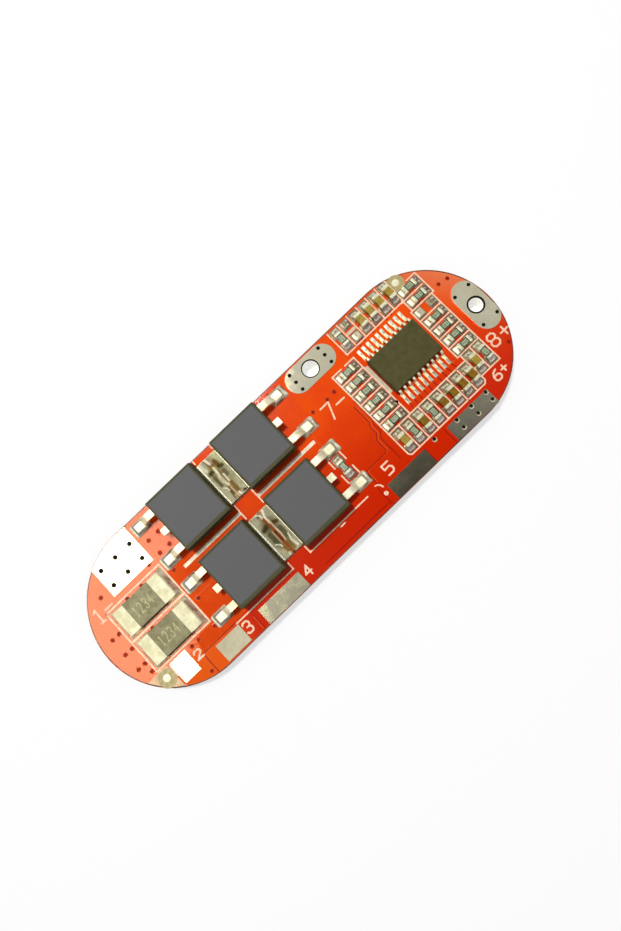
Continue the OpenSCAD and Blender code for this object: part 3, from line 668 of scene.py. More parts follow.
def ribbon(path: list[Point], width: float, low: float, high: float, round_ends: bool = True) -> Sheet:
    """Carries a flat profile along a path in the plane: at each point it spreads by half the width along the
    line that halves the bend, and round ends shrink it as a circle does.

    Args:
        path: Points of the middle line.
        width: Width of the line.
        low: Height of its underside.
        high: Height of its top.
        round_ends: Whether the two ends are round.

    Returns:
        The closed surface.
    """
    line = np.array(path, dtype=float)
    half = np.full(len(line), width / 2)
    if round_ends:
        share = np.array([0.999, 0.87, 0.5])
        reach = width / 2 * share[:, None]
        shrink = width / 2 * np.sqrt(1 - share ** 2)
        first = line[0] - line[1]
        last = line[-1] - line[-2]
        first /= np.linalg.norm(first)
        last /= np.linalg.norm(last)
        line = np.concatenate([line[0] + first * reach, line, line[-1] + last * reach[::-1]])
        half = np.concatenate([shrink, half, shrink[::-1]])
    step = np.diff(line, axis=0)
    step /= np.linalg.norm(step, axis=1)[:, None]
    before = np.concatenate([step[:1], step])
    after = np.concatenate([step, step[-1:]])
    tangent = before + after
    tangent /= np.linalg.norm(tangent, axis=1)[:, None]
    spread = half / np.clip((tangent * after).sum(1), 0.4, 1.0)
    side = np.stack([-tangent[:, 1], tangent[:, 0]], axis=1) * spread[:, None]
    foot, crest = np.full(len(line), low), np.full(len(line), high)
    crown = 0.8
    rings = np.stack([
        np.column_stack([line + side, foot]),
        np.column_stack([line + side * crown, crest]),
        np.column_stack([line - side * crown, crest]),
        np.column_stack([line - side, foot])], axis=1)
    return loft(rings[:, ::-1])


def plate(outline: np.ndarray, low: float, high: float, bevel: float = 0.03) -> Sheet:
    """Stands an outline up as a thin plate whose upper edge is drawn in.

    Args:
        outline: Points of the outline, anticlockwise.
        low: Height of its underside.
        high: Height of its top.
        bevel: How far the upper edge is drawn in.

    Returns:
        The closed surface.
    """
    ring = np.asarray(outline, dtype=float)
    ahead = np.roll(ring, -1, axis=0) - ring
    ahead /= np.linalg.norm(ahead, axis=1)[:, None]
    behind = np.roll(ahead, 1, axis=0)
    inward = np.stack([-(ahead + behind)[:, 1], (ahead + behind)[:, 0]], axis=1)
    inward /= np.maximum(np.linalg.norm(inward, axis=1)[:, None], 1e-9)
    cos_half = np.clip((inward * np.stack([-ahead[:, 1], ahead[:, 0]], axis=1)).sum(1), 0.4, 1.0)
    drawn = ring + inward * (bevel / cos_half)[:, None]
    count = len(ring)
    points = np.concatenate([
        np.column_stack([ring, np.full(count, low)]),
        np.column_stack([ring, np.full(count, (low + high) / 2)]),
        np.column_stack([drawn, np.full(count, high)])])
    top = (np.arange(count) + 2 * count).tolist()
    bottom = np.arange(count)[::-1].tolist()
    return Sheet(points, grid_faces(3, count, True) + [top, bottom])


def disc(x: float, y: float, radius: float, low: float, high: float, steps: int = 32) -> Sheet:
    """Stands a round plate up: points at even angles on a circle, as a plate.

    Args:
        x: Middle of the plate.
        y: Middle of the plate.
        radius: Its radius.
        low: Height of its underside.
        high: Height of its top.
        steps: Steps in the round.

    Returns:
        The closed surface.
    """
    angle = np.linspace(0, FULL_TURN, steps, endpoint=False)
    ring = np.stack([x + radius * np.cos(angle), y + radius * np.sin(angle)], axis=1)
    return plate(ring, low, high, min(0.02, radius / 4))


def turned(x: float, y: float, radii: list[float], heights: list[float], steps: int = 20) -> Sheet:
    """Turns a profile of radii and heights about an upright axis and closes its ends.

    Args:
        x: Place of the axis.
        y: Place of the axis.
        radii: Radius at each step of the profile, from the bottom up or outside in.
        heights: Height at each step.
        steps: Steps in the round.

    Returns:
        The closed surface.
    """
    angle = np.linspace(0, FULL_TURN, steps, endpoint=False)
    r = np.array(radii)[:, None]
    rings = np.stack([x + r * np.cos(angle), y + r * np.sin(angle),
                      np.broadcast_to(np.array(heights)[:, None], (len(radii), steps))], axis=-1)
    return loft(rings)


def pool(x: float, y: float, half: Point, radius: float, base: float, height: HeightLaw, rings: int = 9,
         steps: int = 4, turn: float = 0.0) -> Sheet:
    """Raises a smooth drop over a rounded rectangle: rings shrink evenly from its rim to its middle, and each
    point takes its height from its place and from its share of the way in.

    Args:
        x: Middle of the drop.
        y: Middle of the drop.
        half: Half sizes along and across.
        radius: Radius of its corners.
        base: Height of what it lies on.
        height: Gives the height at places along and across, for a share of the way in.
        rings: Rings from rim to middle.
        steps: Steps in a corner.
        turn: Angle that the drop is turned by.

    Returns:
        The closed surface.
    """
    share = np.linspace(0.0, 1.0, rings)[:, None] ** 1.5
    ring = rounded_ring(half[0], half[1], radius, steps)
    ring = np.concatenate([ring[:, None], (ring[:, None] + np.roll(ring, -1, axis=0)[:, None]) / 2], axis=1)
    ring = ring.reshape(-1, 2)
    along = ring[None, :, 0] * (1 - share * 0.97)
    across = ring[None, :, 1] * (1 - share * 0.97)
    up = base + height(along, across, share)
    up[0] = base - 0.02
    c, n = np.cos(turn), np.sin(turn)
    rings_out = np.stack([x + along * c - across * n, y + along * n + across * c, up], axis=-1)
    floor = rings_out[:1].copy()
    floor[..., 2] = base - 0.03
    return loft(np.concatenate([floor, rings_out]))


def dome(share: np.ndarray, rise: float) -> np.ndarray:
    """Gives a drop's round shoulder: a quarter circle over its outer third, scaled to the rise.

    Args:
        share: Share of the way in.
        rise: Rise of the drop.

    Returns:
        The heights.
    """
    inward = np.clip(share / 0.35, 0.0, 1.0)
    return rise * np.sqrt(1 - (1 - inward) ** 2)


def brush(along: np.ndarray, across: np.ndarray, path: list[Point], width: float) -> np.ndarray:
    """Weighs places by how near they lie to a path: 1 on it and nothing past the width, by a steep bell curve of
    the distance to the nearest of its segments.

    Args:
        along: Places along.
        across: Places across.
        path: Points of the path.
        width: Distance at which the weight has fallen to a third.

    Returns:
        The weights.
    """
    best = np.full(along.shape, np.inf)
    for (x0, y0), (x1, y1) in zip(path[:-1], path[1:]):
        dx, dy = x1 - x0, y1 - y0
        share = np.clip(((along - x0) * dx + (across - y0) * dy) / (dx * dx + dy * dy), 0, 1)
        best = np.minimum(best, np.hypot(along - x0 - share * dx, across - y0 - share * dy))
    return np.exp(-(best / width) ** 4)


def paint(ground: Colour, strokes: list[Stroke], along: np.ndarray, across: np.ndarray) -> np.ndarray:
    """Paints places with strokes over a ground: each stroke covers what lies under it by its own weight.

    Args:
        ground: Colour of the ground.
        strokes: Colour, path and width of each stroke.
        along: Places along.
        across: Places across.

    Returns:
        The colours.
    """
    tint = np.broadcast_to(np.array(srgb(*ground)), along.shape + (4,)).copy()
    for colour, path, width in strokes:
        weight = brush(along, across, path, width)[..., None]
        tint = tint * (1 - weight) + np.array(srgb(*colour)) * weight
    return tint


def put_tint(piece: bpy.types.Object, tints: list[np.ndarray]) -> None:
    """Stores the colours of a piece's points on it.

    Args:
        piece: The piece.
        tints: Colours of its points, part by part.
    """
    mark = piece.data.attributes.new("tint", "FLOAT_COLOR", "POINT")
    mark.data.foreach_set("color", np.concatenate(tints).astype(np.float32).ravel())


def in_drop(sheet: Sheet, x: float, y: float, turn: float) -> tuple[np.ndarray, np.ndarray]:
    """Gives the places of a drop's points along and across it, seen from its middle and turned back.

    Args:
        sheet: The drop.
        x: Its middle.
        y: Its middle.
        turn: Angle that it is turned by.

    Returns:
        Places along and places across.
    """
    away = sheet.points[:, :2] - np.array([x, y])
    c, n = np.cos(turn), np.sin(turn)
    return away[:, 0] * c + away[:, 1] * n, away[:, 1] * c - away[:, 0] * n


def slab(along: np.ndarray, across: np.ndarray, up: np.ndarray, base: float) -> Sheet:
    """Closes a height field over a rectangle: each row is a ring that runs over the field and back along its base.

    Args:
        along: Places along, growing within a row.
        across: Places across, growing from row to row.
        up: Heights.
        base: Height of the base.

    Returns:
        The closed surface, with two more points at the end of each row.
    """
    top = np.stack([along, across, up], axis=-1)
    back = top[:, [-1, 0]].copy()
    back[..., 2] = base
    return loft(np.concatenate([top, back], axis=1))


def band(x: np.ndarray | float, y: np.ndarray | float, angle: np.ndarray, profile: list[Point]) -> Sheet:
    """Carries a closed profile of radii and heights round an upright axis, or round several in turn.

    Args:
        x: Place of the axis, or its place at each angle.
        y: Place of the axis, or its place at each angle.
        angle: Angles in the round.
        profile: Radius and height at each step, down the outside, over and back.

    Returns:
        The closed surface, a ring with a hole.
    """
    rings = np.array([[x + r * np.cos(angle), y + r * np.sin(angle), np.full(len(angle), z)] for r, z in profile])
    rings = rings.transpose(0, 2, 1)
    closed = np.concatenate([rings, rings[:1]])
    return Sheet(closed.reshape(-1, 3), grid_faces(len(closed), len(angle), True))


def make_piece(name: str, sheet: Sheet, finishes: list[Finish], indices: np.ndarray | None = None,
               smooth: bool = False) -> bpy.types.Object:
    """Puts a surface into the scene as a piece that rides on the board.

    Args:
        name: Name of the piece.
        sheet: Its surface, in millimetres.
        finishes: Its finishes.
        indices: Number of the finish for each face.
        smooth: Whether its faces are shaded smooth.

    Returns:
        The piece.
    """
    mesh = bpy.data.meshes.new(name)
    mesh.from_pydata((sheet.points * MM).tolist(), [], sheet.faces)
    for finish in finishes:
        mesh.materials.append(finish.material())
    if indices is not None:
        mesh.polygons.foreach_set("material_index", np.asarray(indices, dtype=np.int32))
    mesh.polygons.foreach_set("use_smooth", np.full(len(mesh.polygons), smooth))
    mesh.update()
    piece = bpy.data.objects.new(name, mesh)
    bpy.context.scene.collection.objects.link(piece)
    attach(piece, "root")
    log.info("%s: %d faces", name, len(mesh.polygons))
    return piece


def middle(node: str) -> tuple[float, float]:
    """Gives the middle of a node's box seen from above, in millimetres."""
    low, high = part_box(node)
    return (low[0] + high[0]) / 2 / MM, (low[1] + high[1]) / 2 / MM


# ---------------------------------------------------------------- print

# Strokes of each plain digit and sign on a grid 4 wide and 6 high, from its foot on the left.
GLYPHS: dict[str, list[list[Point]]] = {
    "1": [[(1, 5), (2.2, 6)], [(2.2, 6), (2.2, 0)], [(1, 0), (3.4, 0)]],
    "2": [[(0, 4.8), (0.8, 6), (3.2, 6), (4, 5), (4, 3.8), (0, 0)], [(0, 0), (4, 0)]],
    "3": [[(0, 5.2), (0.8, 6), (3.2, 6), (4, 5), (4, 4), (3, 3.1), (4, 2.2), (4, 1), (3.2, 0), (0.8, 0),
           (0, 0.8)], [(1.6, 3.1), (3, 3.1)]],
    "4": [[(3, 0), (3, 6)], [(3, 6), (0, 2)], [(0, 2), (4, 2)]],
    "5": [[(4, 6), (0, 6)], [(0, 6), (0, 3.4)], [(0, 3.4), (3, 3.6), (4, 2.6), (4, 1), (3, 0), (0, 0)]],
    "6": [[(3.6, 6), (1.4, 5.2), (0, 3), (0, 1), (1, 0), (3, 0), (4, 1), (4, 2.4), (3, 3.3), (1, 3.3),
           (0, 2.4)]],
    "7": [[(0, 6), (4, 6)], [(4, 6), (1.4, 0)]],
    "8": [[(1, 3.1), (0, 4), (0, 5), (1, 6), (3, 6), (4, 5), (4, 4), (3, 3.1), (1, 3.1), (0, 2.2), (0, 1),
           (1, 0), (3, 0), (4, 1), (4, 2.2), (3, 3.1)]],
    "+": [[(0, 3), (4, 3)], [(2, 0), (2, 6)]],
    "-": [[(0, 3), (4, 3)]],
}


@dataclass
class Print:
    """The ink lines and marks on the laminate."""

    top: float = BOARD_TOP
    ink_t: float = 0.022
    line_w: float = 0.17
    mark_w: float = 0.21
    bar_w: float = 0.4
    layer_t: float = 0.0004
    layers: int = 23
    drawn: int = 0

    def line(self, *path: Point, width: float = 0.0, square: bool = False) -> Sheet:
        """Prints one line of ink along a path, a hair higher than the last one so that crossings stay clean.

        Args:
            path: Points of the line.
            width: Its width, or 0 for the usual one.
            square: Whether its ends are square.

        Returns:
            The line.
        """
        self.drawn += 1
        high = self.top + self.ink_t + self.layer_t * (self.drawn % self.layers)
        return ribbon(list(path), width or self.line_w, self.top, high, not square)

    def build(self) -> None:
        """Prints the outlines, the dividers and the marks."""
        for name, lines, ink in (("print_outlines", self.outlines(), SILK),
                                 ("print_chip_frames", self.chip_frames(), SILK),
                                 ("print_bars", self.bars(), SILK_LIT),
                                 ("print_grey_bars", self.grey_bars(), SILK_GREY),
                                 ("print_marks", self.marks(), SILK)):
            make_piece(name, lines[0].joined(*lines[1:]), [ink])

    def bars(self) -> list[Sheet]:
        """Works out the broad bars between the transistors.

        Returns:
            The lines.
        """
        return [
            self.line((-15.0, 1.42), (-7.0, 1.42), width=self.bar_w, square=True),
            self.line((-4.5, 1.42), (3.5, 1.42), width=self.bar_w, square=True),
        ]

    def grey_bars(self) -> list[Sheet]:
        """Works out the bars beside the controller and in an empty footprint.

        Returns:
            The lines.
        """
        return [
            self.line((12.72, -0.45), (12.72, 3.3), width=0.42, square=True),
            self.line((13.85, 7.12), (14.75, 7.12), width=0.36),
        ]

    def outlines(self) -> list[Sheet]:
        """Works out the outlines round the transistors and the shunts.

        Returns:
            The lines.
        """
        out = [
            self.line((-24.15, 3.47), (-16.8, 3.47), (-16.8, -4.36), (-24.15, -4.36), (-24.15, 3.47), width=0.2),
            self.line((-24.15, -0.48), (-16.8, -0.48), width=0.24),
            self.line((-15.0, -6.43), (-7.05, -6.43), (-7.05, -5.63)),
            self.line((-4.65, -5.63), (-4.65, -6.43), (3.45, -6.43)),
            self.line((-0.6, -6.73), (-0.05, -6.73)),
            self.line((-22.8, -5.98), (-22.8, -4.98), width=0.22),
            self.line((4.75, -6.18), (5.0, -6.28), (5.2, -6.5), (5.28, -6.78)),
            disc(5.05, -7.48, 0.24, self.top, self.top + self.ink_t),
        ]
        for x in (-7.05, -4.6):
            out.append(self.line((x, 0.57), (x, 2.37)))
            out.append(self.line((x, 8.32), (x, 8.8)))
        for x in (3.03, 4.6):
            out.append(self.line((x, -1.08), (x, -2.1)))
            out.append(self.line((x, -3.06), (x, -4.08)))
        return out

    def chip_frames(self) -> list[Sheet]:
        """Works out the frames and dividers round the chip parts.

        Returns:
            The lines.
        """
        out = [
            self.line((10.7, 4.92), (9.45, 4.92), (9.45, -3.38), (12.5, -3.38), (12.5, 4.92), (11.25, 4.92)),
            self.line((9.45, -3.38), (9.45, -6.2), (9.72, -6.48), (20.13, -6.48), (20.4, -6.2), (20.4, -2.63)),
            self.line((12.5, -3.38), (20.35, -3.38)),
            self.line((12.25, 5.57), (20.45, 5.57), (20.45, 8.6)),
            self.line((12.25, 5.57), (12.25, 8.6)),
            self.line((20.3, 6.92), (20.3, 4.12), (23.35, 4.12), (23.35, 6.92), (22.15, 6.92)),
            self.line((20.05, 4.12), (20.05, -2.63), (23.03, -2.63), (23.03, 4.12)),
            self.line((23.05, -2.63), (23.05, -5.68), (20.35, -5.68)),
        ]
        columns = (("chip_resistor_1", range(5), 9.45, 12.5), ("chip_resistor_8", range(-1, 5), 20.05, 23.03))
        for node, steps, left, right in columns:
            for step in steps:
                y = middle(node)[1] - CHIP_PITCH * (step + 0.5)
                out.append(self.line((left, y), (right, y)))
        rows = (("chip_capacitor_5", 7, -3.38, -6.48), ("chip_resistor_13", 5, 5.57, 8.6))
        for node, steps, near, far in rows:
            for step in range(steps):
                x = middle(node)[0] + CHIP_PITCH * (step + 0.5)
                out.append(self.line((x, near), (x, far)))
        x = middle("chip_capacitor_11")[0] + CHIP_PITCH / 2
        out.append(self.line((x, -2.63), (x, -5.68)))
        return out

    def glyph(self, sign: str, x: float, y: float, width: float, height: float) -> list[Sheet]:
        """Draws a plain digit or a polarity sign with straight strokes.

        Args:
            sign: The digit or sign.
            x: Left side.
            y: Foot.
            width: Width over the strokes.
            height: Height over the strokes.

        Returns:
            Its strokes.
        """
        columns, rows = 4, 6
        half = self.mark_w / 2
        start = np.array([x + half, y + half])
        unit = np.array([(width - 2 * half) / columns, (height - 2 * half) / rows])
        points = [start + np.array(stroke) * unit for stroke in GLYPHS[sign]]
        return [self.line(*pair, width=self.mark_w) for path in points for pair in zip(path[:-1], path[1:])]

    def marks(self) -> list[Sheet]:
        """Numbers the pads round the board and signs their poles.

        Returns:
            The lines.
        """
        places = (
            ("1", -25.45, 3.0, 1.15, 1.75), ("-", -24.05, 3.0, 1.15, 1.75),
            ("2", -20.35, -6.5, 0.95, 1.1), ("3", -14.85, -8.15, 0.95, 1.4),
            ("4", -6.6, -8.2, 0.95, 1.3), ("5", 6.45, -6.5, 1.05, 1.4),
            ("6", 21.1, -7.35, 0.95, 1.3), ("+", 22.2, -7.05, 0.85, 0.85),
            ("7", 6.15, 1.55, 1.3, 1.95), ("-", 7.7, 1.62, 1.25, 1.95),
            ("8", 23.4, -4.7, 1.15, 1.65), ("+", 24.9, -4.5, 1.15, 1.2))
        out = []
        for place in places:
            out += self.glyph(*place)
        return out


# ---------------------------------------------------------------- board

PAD_FINISHES: tuple[tuple[Finish, tuple[str, ...]], ...] = (
    (HOLE_TIN, ("p_minus_terminal", "p_plus_terminal")),
    (TIN_PAINTED_GLARE, ("b_minus_pad", "a_pad")),
    (TIN_MOTTLED, ("b_plus_pad", "b1_pad")),
    (TIN_DULL, ("b_pad", "transistor_lands", "shunt_lands")),
    (TIN, ("b2_pad", "controller_lands", "chip_lands")),
    (LEAD_TIN, ("fiducial_dots",)),
)


@dataclass
class Board:
    """The laminate with its mask, vias, bare spots and pads."""

    top: float = BOARD_TOP
    film: float = FILM_T
    via_radius: float = 0.215
    margin: float = 0.07
    wide_via_r: float = 0.29
    fine_via_r: float = 0.22
    collar_r: float = 0.27

    def build(self) -> None:
        """Dresses the laminate and the pads, and adds the vias, seams and bare spots."""
        dress("circuit_board", SOLDER_MASK)
        for finish, nodes in PAD_FINISHES:
            for node in nodes:
                dress(node, finish)
        self.vias()
        self.seams()
        self.spots()
        self.plated_holes()
        self.edge()

    def rims(self, lands: list[tuple[float, float, float, float]]) -> None:
        """Frames lands with a narrow dark margin where the mask stands back, darkened further as painted shade at the
        foot of the solder.

        Args:
            lands: Middle and half sizes of each land.
        """
        plates = [plate(rounded_ring(half_x + self.margin, half_y + self.margin, 0.08, 2) + np.array([x, y]),
                        self.top, self.top + self.film, 0.01) for x, y, half_x, half_y in lands]
        make_piece("land_margins_painted_shade", plates[0].joined(*plates[1:]), [LAND_MARGIN_SHADE])

    def vias(self) -> None:
        """Sinks the masked vias: each rises to a low ring and dips in its middle, and the dip takes the via's
        own finish."""
        places = [(-25.4, 1.12), (-24.5, 1.12), (-25.4, -0.88), (-24.5, -0.88), (-25.4, -2.88), (-24.5, -2.88),
                  (-24.5, -3.93), (-23.45, 5.12), (-21.5, 3.12), (-19.55, 3.07), (-17.55, 4.17), (-15.9, 5.97),
                  (-14.55, 5.97), (-15.9, 4.22), (-14.55, 4.22), (-16.0, 1.92), (-16.1, -1.88), (-21.55, -0.83),
                  (-19.85, -4.93), (-18.9, -4.93), (-16.75, -5.03), (-20.0, -8.08), (5.5, 3.72), (7.5, 3.62),
                  (8.55, 3.72), (3.4, 8.22), (4.5, 8.22), (12.35, -1.53), (24.2, 4.27), (25.3, 4.07),
                  (24.9, -5.08), (22.2, 1.32), (20.7, 3.22), (22.25, 3.32)]
        r = self.via_radius
        radii = [r * 1.35, r * 1.2, r, r * 0.62, r * 0.2]
        heights = [self.top - 0.01, self.top + 0.014, self.top + 0.016, self.top + 0.003, self.top + 0.002]
        holes = [turned(x, y, radii, heights) for x, y in places]
        sheet = holes[0].joined(*holes[1:])
        steps = 20
        rings, foot, dip = np.repeat([0, 0, 1, 1], steps), np.zeros(steps), np.ones(steps)
        one = np.concatenate([rings, foot, dip])
        make_piece("masked_vias", sheet, [SOLDER_MASK, VIA_MASK],
                   np.tile(one, len(places)), smooth=True)

    def seams(self) -> None:
        """Draws the narrow seams and ridges between copper areas as they show under the mask, and lays two thin
        areas of mask with less gloss."""
        main = [(8.9, 1.1), (8.9, -1.2), (8.65, -1.5), (8.65, -2.4), (8.15, -3.0), (8.15, -4.3), (7.9, -4.5),
                (5.3, -4.5), (5.1, -4.8), (5.1, -6.0)]
        paths = [
            [(-19.5, -6.45), (-19.5, -8.6)], [(-19.45, -6.25), (-15.05, -6.25)], main,
            [(9.35, 1.5), (9.35, -1.0), (9.1, -1.5), (9.1, -2.5), (8.6, -3.1), (8.6, -5.9)],
            [(-4.2, -8.35), (4.6, -8.35)], [(4.75, -6.6), (4.75, -8.6)], [(9.35, 1.5), (9.6, 1.8)],
            [(-13.15, -7.0), (-13.15, -8.7)], [(11.0, -7.0), (11.0, -8.7)], [(13.8, -7.0), (13.8, -8.7)]]
        x0, y0 = middle("controller_body")
        leads, lead_pitch = 10, 0.65
        for lead in range(leads):
            away = lead - (leads - 1) / 2
            x = x0 + lead_pitch * away
            paths.append([(x, y0 - 3.7), (x + 0.05 * away, y0 - 4.75)])
            if lead % 3:
                paths.append([(x, y0 + 4.1), (x + 0.06 * away, y0 + 4.55)])
        seam_w, ridge_w = 0.12, 0.08
        lines = [ribbon(path, seam_w, self.top, self.top + self.film) for path in paths]
        make_piece("mask_seams", lines[0].joined(*lines[1:]), [SEAM_MASK])
        ridge = ribbon([(x + 0.14, y - 0.04) for x, y in main], ridge_w, self.top, self.top + self.film - 0.002)
        pale = [[(-13.6, 0.86), (-7.4, 0.93)], [(-16.9, -1.62), (-13.6, -1.62)], [(-13.3, -7.1), (-13.3, -8.6)],
                [(3.7, 1.9), (3.7, -4.4)], [(12.9, -2.6), (19.6, -2.6)]]
        ridges = [ribbon(path, 0.07, self.top, self.top + self.film - 0.001 * i) for i, path in enumerate(pale)]
        make_piece("mask_seam_ridges", ridge.joined(*ridges), [SEAM_LIGHT])
        flat_t = 0.0012
        areas = [[(-16.9, -4.4), (-13.5, -4.4), (-13.5, 0.75), (-6.9, 0.75), (-6.9, 2.5), (-16.9, 2.4)],
                 [(-19.3, -6.15), (-13.4, -6.15), (-13.4, -4.65), (-16.9, -4.62), (-19.1, -4.62)]]
        flats = [plate(np.array(area), self.top, self.top + flat_t, flat_t / 3) for area in areas]
        make_piece("mask_flats", flats[0].joined(*flats[1:]), [MASK_FLAT])

    def spots(self) -> None:
        """Lays the bare laminate round the two fiducial dots, and the patches of it that reach the board's edge."""
        left, right = (-23.8, -5.56), (21.15, 7.44)
        high = self.top + self.film
        round_spots = disc(*left, 1.0, self.top, high + 0.004).joined(disc(*right, 0.95, self.top, high + 0.004))
        make_piece("bare_rounds", round_spots, [BARE])
        rim_r = BOARD_END_R - 0.02
        turn = np.linspace(np.radians(211), np.radians(241), 14)
        rim = np.stack([-BOARD_END_X + rim_r * np.cos(turn), rim_r * np.sin(turn)], axis=1)
        inner = np.array([(-22.9, -7.2), (-22.95, -6.2), (-23.0, -4.55), (-24.2, -4.47)])
        left_patch = plate(np.concatenate([rim, inner]), self.top, high, 0.01)
        turn = np.linspace(np.radians(68), np.radians(80), 8)
        rim = np.stack([BOARD_END_X + rim_r * np.cos(turn), rim_r * np.sin(turn)], axis=1)
        inner = np.array([(20.25, 7.4), (20.35, 6.75), (21.3, 6.6)])
        right_patch = plate(np.concatenate([rim, inner]), self.top, high, 0.01)
        make_piece("bare_edges", left_patch.joined(right_patch), [BARE_PALE])

    def plated_holes(self) -> None:
        """Shades the depth of the vias, rims the wire holes with painted shade, and rings the vias of one pad and one
        open via.
        """
        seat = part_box("b_minus_pad")[1][2] / MM
        b_minus = [(x, y) for x in (-21.575, -19.575, -17.575) for y in (7.12, 5.12)]
        b_plus = [(x, y) for x in (15.4, 17.45, 19.5) for y in (-7.13, -8.13)]
        open_vias = [(12.4, -6.93), (12.35, -1.53)]
        p_minus, p_plus = middle("p_minus_terminal"), middle("p_plus_terminal")
        wired = [(p_minus[0] + 2.075 * i, p_minus[1] + j) for i in (-1, 1) for j in (-1, 0, 1)]
        wired += [(p_plus[0] + 0.975 * i, p_plus[1] + 2.05 * j) for i in (-1, 1) for j in (-1, 1)]
        plugs = [disc(x, y, self.wide_via_r, seat - 0.3, seat + 0.008, 20) for x, y in b_minus]
        plugs += [disc(x, y, self.fine_via_r, seat - 0.3, seat + 0.008, 20) for x, y in b_plus + wired + open_vias]
        make_piece("via_shades", plugs[0].joined(*plugs[1:]), [VIA_DARK])
        collars = [disc(x, y - 0.07, self.collar_r, seat - 0.1, seat + 0.004, 20) for x, y in b_plus + open_vias[:1]]
        make_piece("via_collars", collars[0].joined(*collars[1:]), [SILK_GREY])
        angle = np.linspace(0, FULL_TURN, 48, endpoint=False)
        rims = []
        # Painted shade: dark rims where the wire holes' walls fall into shadow.
        for (x, y), outer, inner in ((p_minus, 1.0, 0.885), (p_plus, 0.965, 0.78)):
            profile = [(outer, seat - 0.01), (outer - 0.005, seat + 0.01), (inner, seat + 0.002),
                       (inner - 0.01, seat - 0.12)]
            rims.append(band(x, y, angle, profile))
        make_piece("wire_hole_shade_rims", rims[0].joined(rims[1]), [VIA_DARK])

    def edge(self) -> None:
        """Paints shade on the routed rim: a narrow dark band along the outline that stands in for the board's side in
        shadow.
        """
        steps, depth, width = 40, 0.03, 0.12
        high = self.top + self.film
        right = np.linspace(-QUARTER_TURN, QUARTER_TURN, steps)
        turn = np.concatenate([right, np.linspace(QUARTER_TURN, 3 * QUARTER_TURN, steps)])
        axis_x = np.repeat([BOARD_END_X, -BOARD_END_X], steps)
        profile = [(BOARD_END_R - 0.004, high - depth), (BOARD_END_R - 0.012, high), (BOARD_END_R - width, high),
                   (BOARD_END_R - width, high - depth)]
        make_piece("routed_rim_painted_shade", band(axis_x, 0.0, turn, profile), [RIM_SHADE_MASK])


# ---------------------------------------------------------------- transistors

# Strokes of paint on solder, each with its colour, its path and its width: painted highlights, painted dark
# reflections and painted shade in hollows, beside brown flux in the gaps. Those on the leads' pools, by the side
# that the lead points to, and those in the two gaps between facing tabs, are in millimetres from the middle.
LEAD_POOLS: dict[int, tuple[Colour, list[Stroke]]] = {
    -1: ((212, 206, 182), [
        ((158, 156, 158), [(-0.4, -0.55), (0.6, -0.5), (0.62, 0.5), (-0.4, 0.55)], 0.13),
        ((252, 246, 214), [(0.86, -0.6), (0.89, 0.6)], 0.13),
        ((132, 112, 86), [(1.02, -0.7), (1.02, 0.7)], 0.05),
        ((118, 96, 70), [(-0.9, -0.6), (-0.5, -0.7)], 0.12)]),
    1: ((216, 212, 184), [
        ((128, 106, 76), [(0.45, -0.55), (0.62, 0.0), (0.45, 0.5)], 0.05),
        ((254, 252, 234), [(0.8, -0.1), (0.82, 0.4)], 0.15),
        ((104, 78, 50), [(-0.6, 0.72), (0.2, 0.7)], 0.09),
        ((92, 66, 42), [(1.0, -0.72), (1.0, 0.1)], 0.09),
        ((148, 130, 102), [(-0.3, -0.6), (0.5, -0.66)], 0.09)]),
}
UPPER_GAP: list[Stroke] = [
    ((238, 234, 204), [(-1.1, 2.6), (-0.9, 1.6)], 0.22),
    ((212, 212, 158), [(0.95, 2.4), (0.95, 1.3)], 0.32),
    ((176, 162, 118), [(-0.05, 2.8), (-0.05, -2.7)], 0.52),
    ((170, 158, 112), [(-0.02, 1.1), (-0.02, -0.5)], 0.88),
    ((152, 116, 56), [(-0.25, 1.6), (0.5, 1.5)], 0.3),
    ((118, 84, 34), [(0.4, 1.9), (0.45, 1.2)], 0.2),
    ((130, 96, 40), [(-0.35, -1.2), (-0.3, -2.0)], 0.18),
    ((140, 104, 44), [(0.28, -1.0), (0.25, -2.1)], 0.24),
    ((72, 64, 24), [(-0.74, 1.05), (-0.52, 1.1)], 0.28),
    ((76, 64, 26), [(0.46, 1.1), (0.74, 1.0)], 0.26),
    ((104, 98, 62), [(-0.72, 0.6), (-0.72, -0.55)], 0.2),
    ((118, 108, 76), [(0.5, 0.5), (0.55, 0.0)], 0.26),
    ((244, 234, 192), [(-0.1, 1.4), (-0.15, 0.6), (-0.3, 0.1), (-0.2, -0.6), (-0.08, -1.0)], 0.13),
    ((226, 214, 170), [(-0.32, 0.1), (-0.3, -0.4)], 0.18),
    ((250, 240, 206), [(0.22, 0.2), (0.2, -0.7)], 0.09),
    ((98, 78, 38), [(0.12, 0.9), (0.07, 0.0), (0.08, -0.8)], 0.045),
    ((120, 94, 56), [(0.05, 2.8), (0.0, 1.4)], 0.05),
    ((120, 84, 48), [(0.0, -1.4), (0.05, -2.8)], 0.05),
    ((255, 240, 212), [(-0.32, 2.75), (-0.13, 1.9)], 0.15),
    ((255, 228, 202), [(0.14, 2.75), (0.55, 2.75)], 0.2),
    ((110, 90, 54), [(-0.5, 2.7), (-0.3, 1.7)], 0.05),
    ((240, 206, 160), [(-0.12, -1.4), (-0.08, -2.7)], 0.08),
    ((255, 250, 216), [(0.16, -2.3), (0.2, -2.6)], 0.14),
    ((96, 60, 30), [(-0.42, -1.5), (-0.58, -2.7)], 0.06),
    ((244, 240, 214), [(-0.75, -0.9), (-0.5, -1.15), (-0.46, -1.5)], 0.07),
    ((72, 38, 8), [(-0.9, -2.75), (-0.6, -2.72)], 0.12),
    ((66, 36, 6), [(0.7, -2.45), (1.1, -2.7)], 0.14),
]
